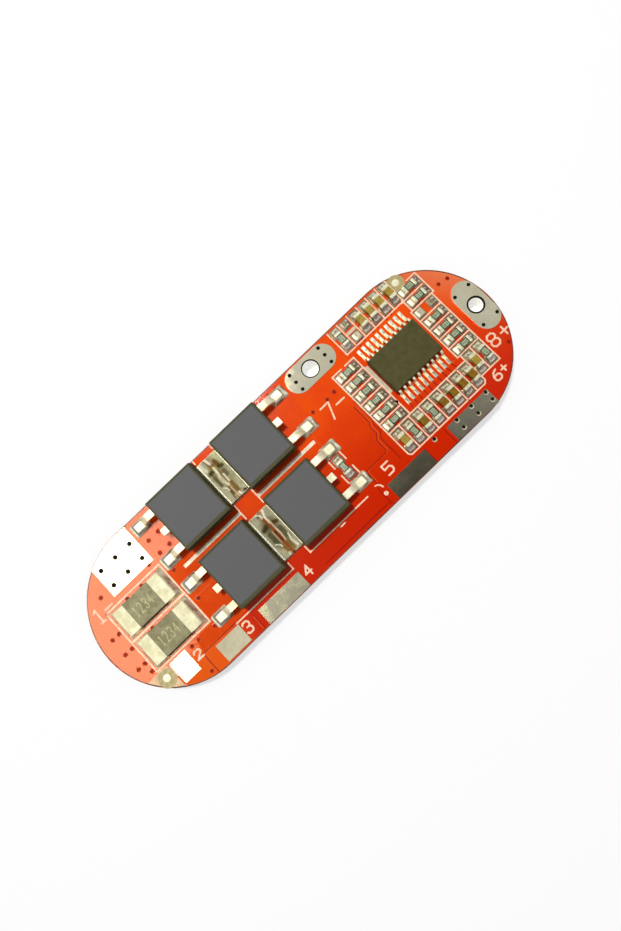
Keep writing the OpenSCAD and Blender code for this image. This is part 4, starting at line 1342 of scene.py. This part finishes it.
LOWER_GAP: list[Stroke] = [
    ((160, 140, 100), [(0.0, 2.7), (0.0, -2.8)], 0.42),
    ((118, 110, 74), [(0.0, 1.0), (0.0, -0.9)], 0.92),
    ((255, 240, 206), [(-0.36, 2.7), (0.0, 2.2), (-0.05, 1.9)], 0.1),
    ((255, 242, 208), [(0.6, 2.75), (0.22, 1.9), (0.22, 1.2)], 0.12),
    ((86, 76, 46), [(-0.3, 2.36), (-0.3, 2.34)], 0.14),
    ((68, 56, 22), [(-0.74, 0.9), (-0.2, 1.1)], 0.3),
    ((84, 62, 26), [(0.5, 1.0), (0.86, 0.8)], 0.24),
    ((90, 88, 56), [(-0.6, 0.2), (-0.6, -0.9)], 0.3),
    ((98, 94, 62), [(0.66, 0.1), (0.7, -0.9)], 0.26),
    ((150, 74, 26), [(0.0, 1.8), (0.05, -2.75)], 0.15),
    ((108, 36, 10), [(0.0, 0.2), (0.03, -0.9)], 0.12),
    ((54, 10, 0), [(-0.02, 0.04), (-0.02, 0.0)], 0.1),
    ((240, 202, 162), [(0.32, 1.4), (0.3, 0.4), (0.35, -0.4), (0.25, -1.2)], 0.08),
    ((202, 162, 122), [(-0.2, 0.3), (-0.26, -1.2)], 0.07),
    ((150, 104, 44), [(-0.36, -1.4), (-0.26, -2.2)], 0.2),
    ((140, 110, 50), [(0.32, -1.6), (0.4, -2.3)], 0.2),
    ((248, 248, 216), [(-0.86, -0.9), (-0.52, -1.2), (-0.46, -1.45)], 0.07),
    ((248, 244, 214), [(0.86, -0.9), (0.68, -1.6), (0.84, -2.4)], 0.09),
    ((236, 216, 180), [(-0.36, -2.4), (-0.36, -2.7)], 0.12),
    ((236, 210, 170), [(0.3, -2.72), (0.8, -2.74)], 0.1),
]


@dataclass
class Transistors:
    """The four power transistors with their solder."""

    count: int = 4
    field_half: Point = (2.82, 2.9)
    field_shift: float = 0.06
    land_l: float = 2.05
    land_w: float = 1.5
    foot_l: float = 0.6
    lead_pitch: float = 2.29
    tab_w: float = 5.3
    gap_half: float = 1.27
    tab_t: float = 0.3

    def build(self) -> None:
        """Dresses the bodies and lead frames, and pools solder on their lands."""
        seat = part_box("transistor_lands")[1][2] / MM
        lands = []
        for number in range(1, self.count + 1):
            body = f"transistor_{number}_body"
            top_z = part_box(body)[1][2] / MM
            x, y = middle(body)
            dress(body, MouldFinish(f"moulding_{number}", (76, 75, 50), (70, 69, 45), scale=900.0, specular=0.08,
                                    smooth=0.55, rough=0.55, relief=0.004, grain_scale=12000.0, grain_share=1.0,
                                    middle=(x, y + self.field_shift), half=self.field_half, top_z=top_z))
            frame_node = f"transistor_{number}_lead_frame"
            dress(frame_node, LEAD_TIN)
            tip_low, tip_high = (np.array(corner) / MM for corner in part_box(frame_node))
            left = x < (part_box("transistor_1_body")[0][0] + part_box("transistor_2_body")[1][0]) / 2 / MM
            side = -1 if left else 1
            tip = tip_low[0] if left else tip_high[0]
            for row in (-1, 1):
                lands.append((tip + side * (self.foot_l - self.land_l / 2), y + row * self.lead_pitch, side))
        self.lead_pools(lands, seat)
        self.tab_joints(seat)

    def lead_pools(self, lands: list[tuple[float, float, int]], seat: float) -> None:
        """Pools solder round the feet of the leads.

        Args:
            lands: Middle of each land and the side that its toe points to.
            seat: Height of the lands.
        """
        drops, tints = [], []
        for index, (x, y, side) in enumerate(lands):
            luck = np.random.default_rng(index + 11)
            swell, lean = luck.uniform(0.1, 0.18), luck.uniform(-0.25, 0.25)

            def height(along: np.ndarray, across: np.ndarray, share: np.ndarray) -> np.ndarray:
                """Lifts the drop towards the foot of the lead, by a bell curve of the distance from the foot.

                Args:
                    along: Places along the land.
                    across: Places across it.
                    share: Share of the way in.

                Returns:
                    The heights.
                """
                past = np.clip(along - 0.42, 0.0, None)
                beside = np.clip(np.abs(across - lean * 0.2) - 0.38, 0.0, None)
                climb = 0.3 * np.exp(-((past ** 2 + beside ** 2) / 0.05))
                return dome(share, swell) + climb * np.clip(share / 0.3, 0.0, 1.0)

            turn = 0.0 if side > 0 else np.pi
            drops.append(pool(x, y, (self.land_l / 2, self.land_w / 2), 0.32, seat, height, rings=14, steps=6,
                              turn=turn))
            along, across = in_drop(drops[-1], x, y, turn)
            # Paints highlights, dark reflections and shade into the pool's colour, by the side that the lead points to.
            tints.append(paint(*LEAD_POOLS[side], along + luck.uniform(-0.06, 0.06),
                               across * luck.choice((-1, 1)) + luck.uniform(-0.06, 0.06)))
        piece = make_piece("lead_solder_pools", drops[0].joined(*drops[1:]), [POOLED_PAINTED_LIGHT], smooth=True)
        put_tint(piece, tints)
        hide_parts("transistor_solder")

    def tab_joints(self, seat: float) -> None:
        """Fills the gaps between facing tabs with fluxed solder: each is painted with strokes of brown flux, painted
        highlights and painted shade in its hollows, and what is bright stands a little higher.

        Args:
            seat: Height of the lands.
        """
        steps = (44, 116)
        half = (self.gap_half, self.tab_w / 2 + 0.06)
        gap = 0.6
        sheets, tints = [], []
        for body, ground, strokes in (("transistor_1", (192, 186, 148), UPPER_GAP),
                                      ("transistor_3", (182, 176, 142), LOWER_GAP)):
            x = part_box(body + "_lead_frame")[1][0] / MM + gap / 2
            y = middle(body + "_body")[1]
            across, along = np.meshgrid(np.linspace(-half[1], half[1], steps[1]),
                                        np.linspace(-half[0], half[0], steps[0]), indexing="ij")
            tint = paint(ground, strokes, along, across)
            rim = np.clip((1 - np.abs(along) / half[0]) * 12, 0, 1) * np.clip((1 - np.abs(across) / half[1]) * 30, 0, 1)
            up = seat + self.tab_t + (0.22 + 0.04 * tint[..., :3].mean(axis=-1)) * rim
            sheets.append(slab(x + along, y + across, up, seat - 0.01))
            rows = np.concatenate([tint, tint[:, [-1, 0]]], axis=1)
            tints += [rows.reshape(-1, 4), rows[0].mean(0)[None], rows[-1].mean(0)[None]]
        piece = make_piece("tab_solder_joints", sheets[0].joined(sheets[1]), [FLUX_AND_PAINTED_LIGHT], smooth=True)
        put_tint(piece, tints)


# ---------------------------------------------------------------- shunts

@dataclass
class Shunts:
    """The two current shunts with their solder."""

    count: int = 2
    land_l: float = 1.75
    land_w: float = 3.5
    overlap: float = 0.33
    digit_pitch: float = 0.66
    digit_size: Point = (0.42, 1.2)

    def build(self) -> None:
        """Dresses the coated elements and folded terminals, pools solder, lays dark strips of painted shadow along
        their long sides and prints plain digits.
        """
        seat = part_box("shunt_lands")[1][2] / MM
        drops, digits, gaps = [], [], []
        pen = Print(line_w=0.07, mark_w=0.09)
        for number in range(1, self.count + 1):
            dress(f"shunt_{number}_element", SHUNT_COAT)
            dress(f"shunt_{number}_terminals", SHUNT_TIN)
            low, high = (np.array(corner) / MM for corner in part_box(f"shunt_{number}_terminals"))
            y = (low[1] + high[1]) / 2
            for side, tip in ((-1, low[0]), (1, high[0])):
                x = tip + side * (self.overlap - self.land_l / 2)

                def height(along: np.ndarray, across: np.ndarray, share: np.ndarray) -> np.ndarray:
                    """Lifts the drop to the end of the terminal, by a bell curve of the distance past it.

                    Args:
                        along: Places along the land.
                        across: Places across it, which change nothing here.
                        share: Share of the way in.

                    Returns:
                        The heights.
                    """
                    past = np.clip(along - (self.land_l / 2 - self.overlap), 0.0, None)
                    return dome(share, 0.06) + 0.36 * np.exp(-(past / 0.16) ** 2) * np.clip(share / 0.12, 0, 1)

                drops.append(pool(x, y, (self.land_l / 2, self.land_w / 2), 0.2, seat, height, rings=16,
                                  turn=0.0 if side > 0 else np.pi))
            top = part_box(f"shunt_{number}_element")[1][2] / MM
            middle_x = (low[0] + high[0]) / 2
            pen.top = top - 0.004
            pen.ink_t = 0.008
            for step, sign in enumerate("1234"):
                start = middle_x - 1.3 + self.digit_pitch * step
                digits += pen.glyph(sign, start, y - self.digit_size[1] / 2, *self.digit_size)
            # Painted shadow: a broad dark strip on the side at negative y and a narrow one on the other side.
            for y_line, broad in ((low[1] - 0.05, 0.2), (high[1] + 0.06, 0.09)):
                gaps.append(ribbon([(low[0] + 0.15, y_line), (high[0] - 0.35, y_line)], broad, seat - 0.1,
                                   seat + 0.02, False))
        make_piece("shunt_painted_shadows", gaps[0].joined(*gaps[1:]), [SHUNT_SHADOW_PAINT])
        piece = make_piece("shunt_solder_pools", drops[0].joined(*drops[1:]), [SOLDER], smooth=True)
        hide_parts("shunt_solder")
        make_piece("shunt_digits", digits[0].joined(*digits[1:]), [SHUNT_INK])


# ---------------------------------------------------------------- controller

@dataclass
class Controller:
    """The controller with its leads and solder."""

    def build(self) -> None:
        """Dresses the moulding, leads and solder."""
        dress("controller_body", CONTROLLER)
        dress("controller_leads", LEAD_TIN)
        dress("controller_solder", SOLDER)


# ---------------------------------------------------------------- chips

class ChipKind(Enum):
    """Kinds of chip part."""

    RESISTOR = "chip_resistor"
    CAPACITOR = "chip_capacitor"


@dataclass
class Chip:
    """One chip part: a ceramic block between two metal ends."""

    kind: ChipKind
    number: int
    brown: tuple[int, ...] = (6, 7, 8, 9, 10)
    resistor_end: float = 0.3
    capacitor_end: float = 0.36
    end_proud: float = 0.028
    round_r: float = 0.07
    steps: int = 4

    @property
    def node(self) -> str:
        """Name of the solid that it stands for."""
        return f"{self.kind.value}_{self.number}"

    def profile(self, length: float) -> tuple[np.ndarray, np.ndarray, int]:
        """Works out the stations along the chip and how far each ring is drawn in: metal ends with rounded
        rims stand proud of the block between them.

        Args:
            length: Length of the chip.

        Returns:
            Stations, insets, and the number of segments in one metal end.
        """
        end = self.resistor_end if self.kind is ChipKind.RESISTOR else self.capacitor_end
        r = self.round_r
        half = [(0.0, r), (0.3 * r, 0.4 * r), (r, 0.0), (end - 0.03, 0.0), (end, 0.012), (end + 0.01, self.end_proud)]
        start = np.array(half)
        stations = np.concatenate([start[:, 0], length - start[::-1, 0]]) - length / 2
        insets = np.concatenate([start[:, 1], start[::-1, 1]])
        return stations, insets, len(half) - 1

    def build(self) -> None:
        """Builds the chip over its solid and hides the solid."""
        low, high = (np.array(corner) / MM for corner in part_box(self.node))
        size = high - low
        along_x = size[0] > size[1]
        length, width = (size[0], size[1]) if along_x else (size[1], size[0])
        height = size[2]
        stations, insets, end_segments = self.profile(length)
        flat = np.array([rounded_ring(width / 2 - inset, height / 2 - inset, self.round_r * 0.8, self.steps)
                         for inset in insets])
        rings = np.concatenate([np.broadcast_to(stations[:, None, None], flat.shape[:2] + (1,)), flat], axis=2)
        around = flat.shape[1]
        sheet = loft(rings)
        middle_segments = len(stations) - 1 - 2 * end_segments
        body = np.zeros((middle_segments, around))
        if self.kind is ChipKind.RESISTOR:
            body[:, 2:2 * self.steps] = 2
        numbers = np.concatenate([np.ones(end_segments * around), body.ravel(), np.ones(end_segments * around),
                                  np.ones(2 * around)])
        finishes = [CERAMIC_BROWN if self.number in self.brown else CERAMIC, CHIP_END]
        if self.kind is ChipKind.RESISTOR:
            finishes = [ALUMINA, CHIP_END, RESISTOR_COAT, WINDOW]
            window = plate(rounded_ring(0.37, 0.26, 0.05, 2), height / 2 - self.end_proud, height / 2 - 0.01, 0.01)
            ticks = [ribbon([(x, -0.1), (x, 0.1)], 0.06, height / 2 - 0.02, height / 2 - 0.006, False)
                     for x in (-0.2, -0.02, 0.19)]
            count = sum(len(tick.faces) for tick in ticks)
            numbers = np.concatenate([numbers, np.full(len(window.faces), 3), np.full(count, 2)])
            sheet = sheet.joined(window, *ticks)
        wobble = np.random.default_rng(self.number + 50 * (self.kind is ChipKind.RESISTOR))
        turn = np.radians(wobble.uniform(-2.5, 2.5)) + (0 if along_x else QUARTER_TURN)
        spin = np.array([[np.cos(turn), np.sin(turn), 0], [-np.sin(turn), np.cos(turn), 0], [0, 0, 1]])
        shift = np.append(wobble.uniform(-0.03, 0.03, 2), 0.0)
        sheet.points = sheet.points @ spin + (low + high) / 2 + shift
        piece = make_piece(self.node + "_dressed", sheet, finishes,
                           numbers)
        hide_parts(self.node)


# Strokes on the chips' pools, in half sizes of the pool: the painted shade on the sides of all, then the ground
# and strokes of each direction from the chip, a quarter turn apart, with painted highlights and shade that differ
# with the side the light falls on.
POOL_EDGE_SHADE: list[Stroke] = [
    ((112, 84, 58), [(-1.1, -0.97), (1.1, -0.97)], 0.09),
    ((112, 84, 58), [(-1.1, 0.97), (1.1, 0.97)], 0.09),
]
CHIP_POOLS: list[tuple[Colour, list[Stroke]]] = [
    ((152, 140, 112), [
        ((84, 62, 40), [(0.3, -0.6), (0.8, 0.4)], 0.32), ((252, 238, 216), [(0.2, -0.55), (0.5, -0.35)], 0.17),
        ((238, 228, 206), [(0.65, 0.5), (0.75, 0.6)], 0.17), ((108, 86, 58), [(-0.6, 0.1), (0.5, 0.05)], 0.08),
        ((88, 56, 34), [(0.98, -0.9), (0.98, 0.9)], 0.12)]),
    ((186, 182, 150), [
        ((255, 240, 212), [(0.35, -0.4), (0.4, -0.3)], 0.25), ((242, 238, 208), [(0.5, 0.4), (0.55, 0.45)], 0.19),
        ((118, 88, 54), [(0.98, -0.9), (0.98, 0.9)], 0.18), ((110, 104, 76), [(0.1, -0.2), (0.3, 0.3)], 0.1)]),
    ((208, 200, 168), [
        ((255, 245, 224), [(0.5, -0.5), (0.6, 0.5)], 0.32), ((130, 110, 82), [(-0.2, -0.7), (0.1, 0.6)], 0.07),
        ((118, 82, 54), [(0.99, -0.8), (0.99, 0.8)], 0.08)]),
    ((172, 162, 152), [
        ((182, 170, 172), [(0.1, -0.3), (0.2, 0.3)], 0.4),
        ((246, 238, 212), [(0.5, -0.7), (0.78, 0.0), (0.5, 0.7)], 0.13),
        ((104, 72, 52), [(0.99, -0.95), (0.99, 0.95)], 0.1), ((120, 100, 80), [(-0.3, -0.8), (0.3, -0.9)], 0.08)]),
]


@dataclass
class Chips:
    """The chip resistors and capacitors with their solder."""

    resistors: int = 17
    capacitors: int = 11
    chip_l: float = 1.6
    land: float = 1.0
    toe: float = 0.57
    resistor_rise: float = 0.3
    capacitor_rise: float = 0.46

    def build(self) -> None:
        """Builds each chip and dresses the solder."""
        chips = [Chip(ChipKind.RESISTOR, number) for number in range(1, self.resistors + 1)]
        chips += [Chip(ChipKind.CAPACITOR, number) for number in range(1, self.capacitors + 1)]
        for chip in chips:
            chip.build()
        self.pools(chips)

    def pools(self, chips: list[Chip]) -> None:
        """Pools solder against the ends of the chips and on the empty lands.

        Args:
            chips: The chips.
        """
        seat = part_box("chip_lands")[1][2] / MM
        drops, tints, lands = [], [], []
        for chip in chips:
            low, high = (np.array(corner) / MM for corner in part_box(chip.node))
            size = high - low
            turned_by = 0.0 if size[0] > size[1] else QUARTER_TURN
            reach = max(size[:2]) / 2 + self.toe - self.land / 2
            rise = self.resistor_rise if chip.kind is ChipKind.RESISTOR else self.capacitor_rise
            for side in (0.0, np.pi):
                turn = turned_by + side
                x = (low[0] + high[0]) / 2 + reach * np.cos(turn)
                y = (low[1] + high[1]) / 2 + reach * np.sin(turn)
                lands.append((x, y, self.land / 2, self.land / 2))
                self.drop(x, y, turn, rise, seat, drops, tints)
        right_slot = (middle("chip_resistor_9")[0], middle("chip_resistor_9")[1] + CHIP_PITCH)
        top_slot = (middle("chip_resistor_13")[0] + CHIP_PITCH, middle("chip_resistor_13")[1])
        reach = self.chip_l / 2 + self.toe - self.land / 2
        for side in (-1, 1):
            for x, y in ((right_slot[0] + side * reach, right_slot[1]), (top_slot[0], top_slot[1] + side * reach)):
                lands.append((x, y, self.land / 2, self.land / 2))
                self.drop(x, y, np.pi * (side < 0), 0.0, seat, drops, tints)
        piece = make_piece("chip_solder_pools", drops[0].joined(*drops[1:]), [POOLED_PAINTED_LIGHT], smooth=True)
        put_tint(piece, tints)
        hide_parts("chip_solder")
        Board().rims(lands)

    def drop(self, x: float, y: float, turn: float, rise: float, seat: float, drops: list[Sheet],
             tints: list[np.ndarray]) -> None:
        """Works out one drop of solder, each a little different, and its colours.

        Args:
            x: Middle of its land.
            y: Middle of its land.
            turn: Direction from the chip to the land.
            rise: How far it climbs the chip's end.
            seat: Height of the land.
            drops: List that the drop goes to.
            tints: List that its colours go to.
        """
        luck = np.random.default_rng(len(drops) + 101)
        swell, lean, size = luck.uniform(0.05, 0.14), luck.uniform(-0.2, 0.2), luck.uniform(0.9, 1.0)
        swell += 0.08 if rise == 0.0 else 0.0
        half = self.land / 2 * size

        def height(along: np.ndarray, across: np.ndarray, share: np.ndarray) -> np.ndarray:
            """Sweeps up to the chip's end in a hollow curve, lower towards the two sides.

            Args:
                along: Places along the land, from the chip.
                across: Places across it.
                share: Share of the way in.

            Returns:
                The heights.
            """
            past = np.clip(along + 0.08, 0.0, None)
            climb = rise * np.exp(-(past / 0.2) ** 1.3) * (1 - 0.5 * np.clip(np.abs(across) / 0.5, 0, 1) ** 3)
            return dome(share, swell) * (1 + lean * across) + climb * np.clip(share / 0.25, 0.0, 1.0)

        drops.append(pool(x, y, (half, half), 0.14, seat, height, rings=10, steps=4, turn=turn))
        along, across = in_drop(drops[-1], x, y, turn)
        ground, strokes = CHIP_POOLS[round(turn / QUARTER_TURN) % 4]
        shift = luck.uniform(-0.14, 0.14, 2)
        flip = luck.choice((-1, 1))
        # Paints highlights and shade into the drop's colour, with shade on its two sides.
        tints.append(paint(ground, strokes + POOL_EDGE_SHADE, along / half + shift[0], across / half * flip + shift[1]))


# ---------------------------------------------------------------- stage

@dataclass
class Studio:
    """Floor, light and camera. Places and sizes are in millimetres, but for the floor's half width in metres."""

    floor_half: float = 3.0
    camera_at: Place = (0.32, -6.08, 59.93)
    look: Place = (0.0198, 0.1023, -0.9946)
    roll: float = 43.91
    lens: float = 22.09
    frame_height: float = 36.0
    key_at: Place = (-4.0, 118.0, 343.0)
    key_size: float = 50.0
    key_power: float = 0.9
    sheen_at: Place = (-165.0, 99.0, 300.0)
    sheen_size: float = 222.0
    sheen_power: float = 2.1
    sheen_tint: Place = (1.0, 0.93, 0.68)
    dark_at: Place = (0.13, -0.11, 0.985)
    dark_ramp: Ramp = (0.05, 0.36, 0.05, 0.52)
    far_ramp: Ramp = (0.45, 0.85, 1.0, 0.55)
    horizon_ramp: Ramp = (0.25, 0.0, 0.0, 0.6)
    floor_glow: float = 0.6
    floor_drop: float = 0.02
    clip: Point = (0.001, 100.0)

    def build(self) -> None:
        """Builds the stage."""
        self.floor()
        self.world()
        self.lamp("key", self.key_at, self.key_size, self.key_power)
        sheen = self.lamp("sheen", self.sheen_at, self.sheen_size, self.sheen_power)
        sheen.data.color = self.sheen_tint
        sheen.visible_diffuse = False
        self.camera()
        bpy.context.scene.view_settings.view_transform = "Standard"

    def floor(self) -> None:
        """Lays a plain white floor that keeps the object's shadow."""
        s = self.floor_half
        mesh = bpy.data.meshes.new("floor")
        mesh.from_pydata([(-s, -s, 0), (s, -s, 0), (s, s, 0), (-s, s, 0)], [], [(0, 1, 2, 3)])
        piece = bpy.data.objects.new("floor", mesh)
        piece.location.z = -self.floor_drop * MM
        bpy.context.scene.collection.objects.link(piece)
        made = bpy.data.materials.new("floor_white")
        made.use_nodes = True
        net = Net(made.node_tree)
        nodes = made.node_tree.nodes
        nodes.clear()
        paint = net.add("BsdfDiffuse")
        paint.inputs[0].default_value = (1, 1, 1, 1)
        glow = net.add("Emission")
        path = net.add("LightPath")
        seen = net.math("MAXIMUM", path.outputs["Is Camera Ray"], path.outputs["Is Glossy Ray"])
        seen = net.math("MAXIMUM", seen, path.outputs["Is Transmission Ray"])
        both = net.add("MixShader")
        net.put(both.inputs[0], net.math("MULTIPLY", seen, self.floor_glow))
        net.put(both.inputs[1], paint.outputs[0])
        net.put(both.inputs[2], glow.outputs[0])
        out = net.add("OutputMaterial")
        net.put(out.inputs[0], both.outputs[0])
        mesh.materials.append(made)

    def world(self) -> None:
        """Lights the board from all round: darkest at a place overhead, brightest in a ring about that place and
        dimmer farther out. Reflections turn pale low down, and straight views stay white."""
        world = bpy.data.worlds.new("studio")
        bpy.context.scene.world = world
        world.use_nodes = True
        net = Net(world.node_tree)
        world.node_tree.nodes.clear()
        direction = net.add("TexCoord").outputs["Generated"]
        away = net.add("VectorMath", operation="DISTANCE")
        net.put(away.inputs[0], direction)
        net.put(away.inputs[1], self.dark_at)
        distance = away.outputs["Value"]
        glow = net.math("MULTIPLY", net.ramp(distance, *self.dark_ramp), net.ramp(distance, *self.far_ramp))
        near_floor = net.ramp(net.split(direction)[2], *self.horizon_ramp)
        path = net.add("LightPath")
        glossy = net.math("MAXIMUM", path.outputs["Is Glossy Ray"], path.outputs["Is Transmission Ray"])
        white = net.math("MAXIMUM", path.outputs["Is Camera Ray"], net.math("MULTIPLY", glossy, near_floor))
        strength = net.math("ADD", net.math("MULTIPLY", glow, net.math("SUBTRACT", 1.0, white)), white)
        back = net.add("Background")
        back.inputs[0].default_value = (1, 1, 1, 1)
        net.put(back.inputs[1], strength)
        out = net.add("OutputWorld")
        net.put(out.inputs[0], back.outputs[0])

    def lamp(self, name: str, place: Place, size: float, power: float) -> bpy.types.Object:
        """Hangs a flat lamp that looks at the middle of the board.

        Args:
            name: Name of the lamp.
            place: Where it hangs, in millimetres.
            size: Its width, in millimetres.
            power: Its power in watts.

        Returns:
            The lamp.
        """
        light = bpy.data.lights.new(name, "AREA")
        light.shape = "DISK"
        light.size = size * MM
        light.energy = power
        piece = bpy.data.objects.new(name, light)
        piece.location = Vector(place) * MM
        piece.rotation_euler = (-Vector(place)).to_track_quat("-Z", "Y").to_euler()
        bpy.context.scene.collection.objects.link(piece)
        return piece

    def camera(self) -> None:
        """Sets the camera up over the board."""
        lens = bpy.data.cameras.new("camera")
        lens.sensor_fit = "VERTICAL"
        lens.sensor_height = self.frame_height
        lens.lens = self.lens
        lens.clip_start, lens.clip_end = self.clip
        back = -Vector(self.look).normalized()
        turn = np.radians(self.roll)
        up = Vector((np.sin(turn), np.cos(turn), 0.0))
        right = up.cross(back).normalized()
        up = back.cross(right)
        pose = Matrix((right, up, back)).transposed().to_4x4()
        pose.translation = Vector(self.camera_at) * MM
        piece = bpy.data.objects.new("camera", lens)
        piece.matrix_world = pose
        bpy.context.scene.collection.objects.link(piece)
        bpy.context.scene.camera = piece


def main() -> None:
    """Builds the board's look piece by piece."""
    logging.basicConfig(level=logging.INFO, format="%(message)s")
    for part in (Studio(), Board(), Print(), Transistors(), Shunts(), Controller(), Chips()):
        part.build()
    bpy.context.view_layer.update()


if __name__ == "__main__":
    main()
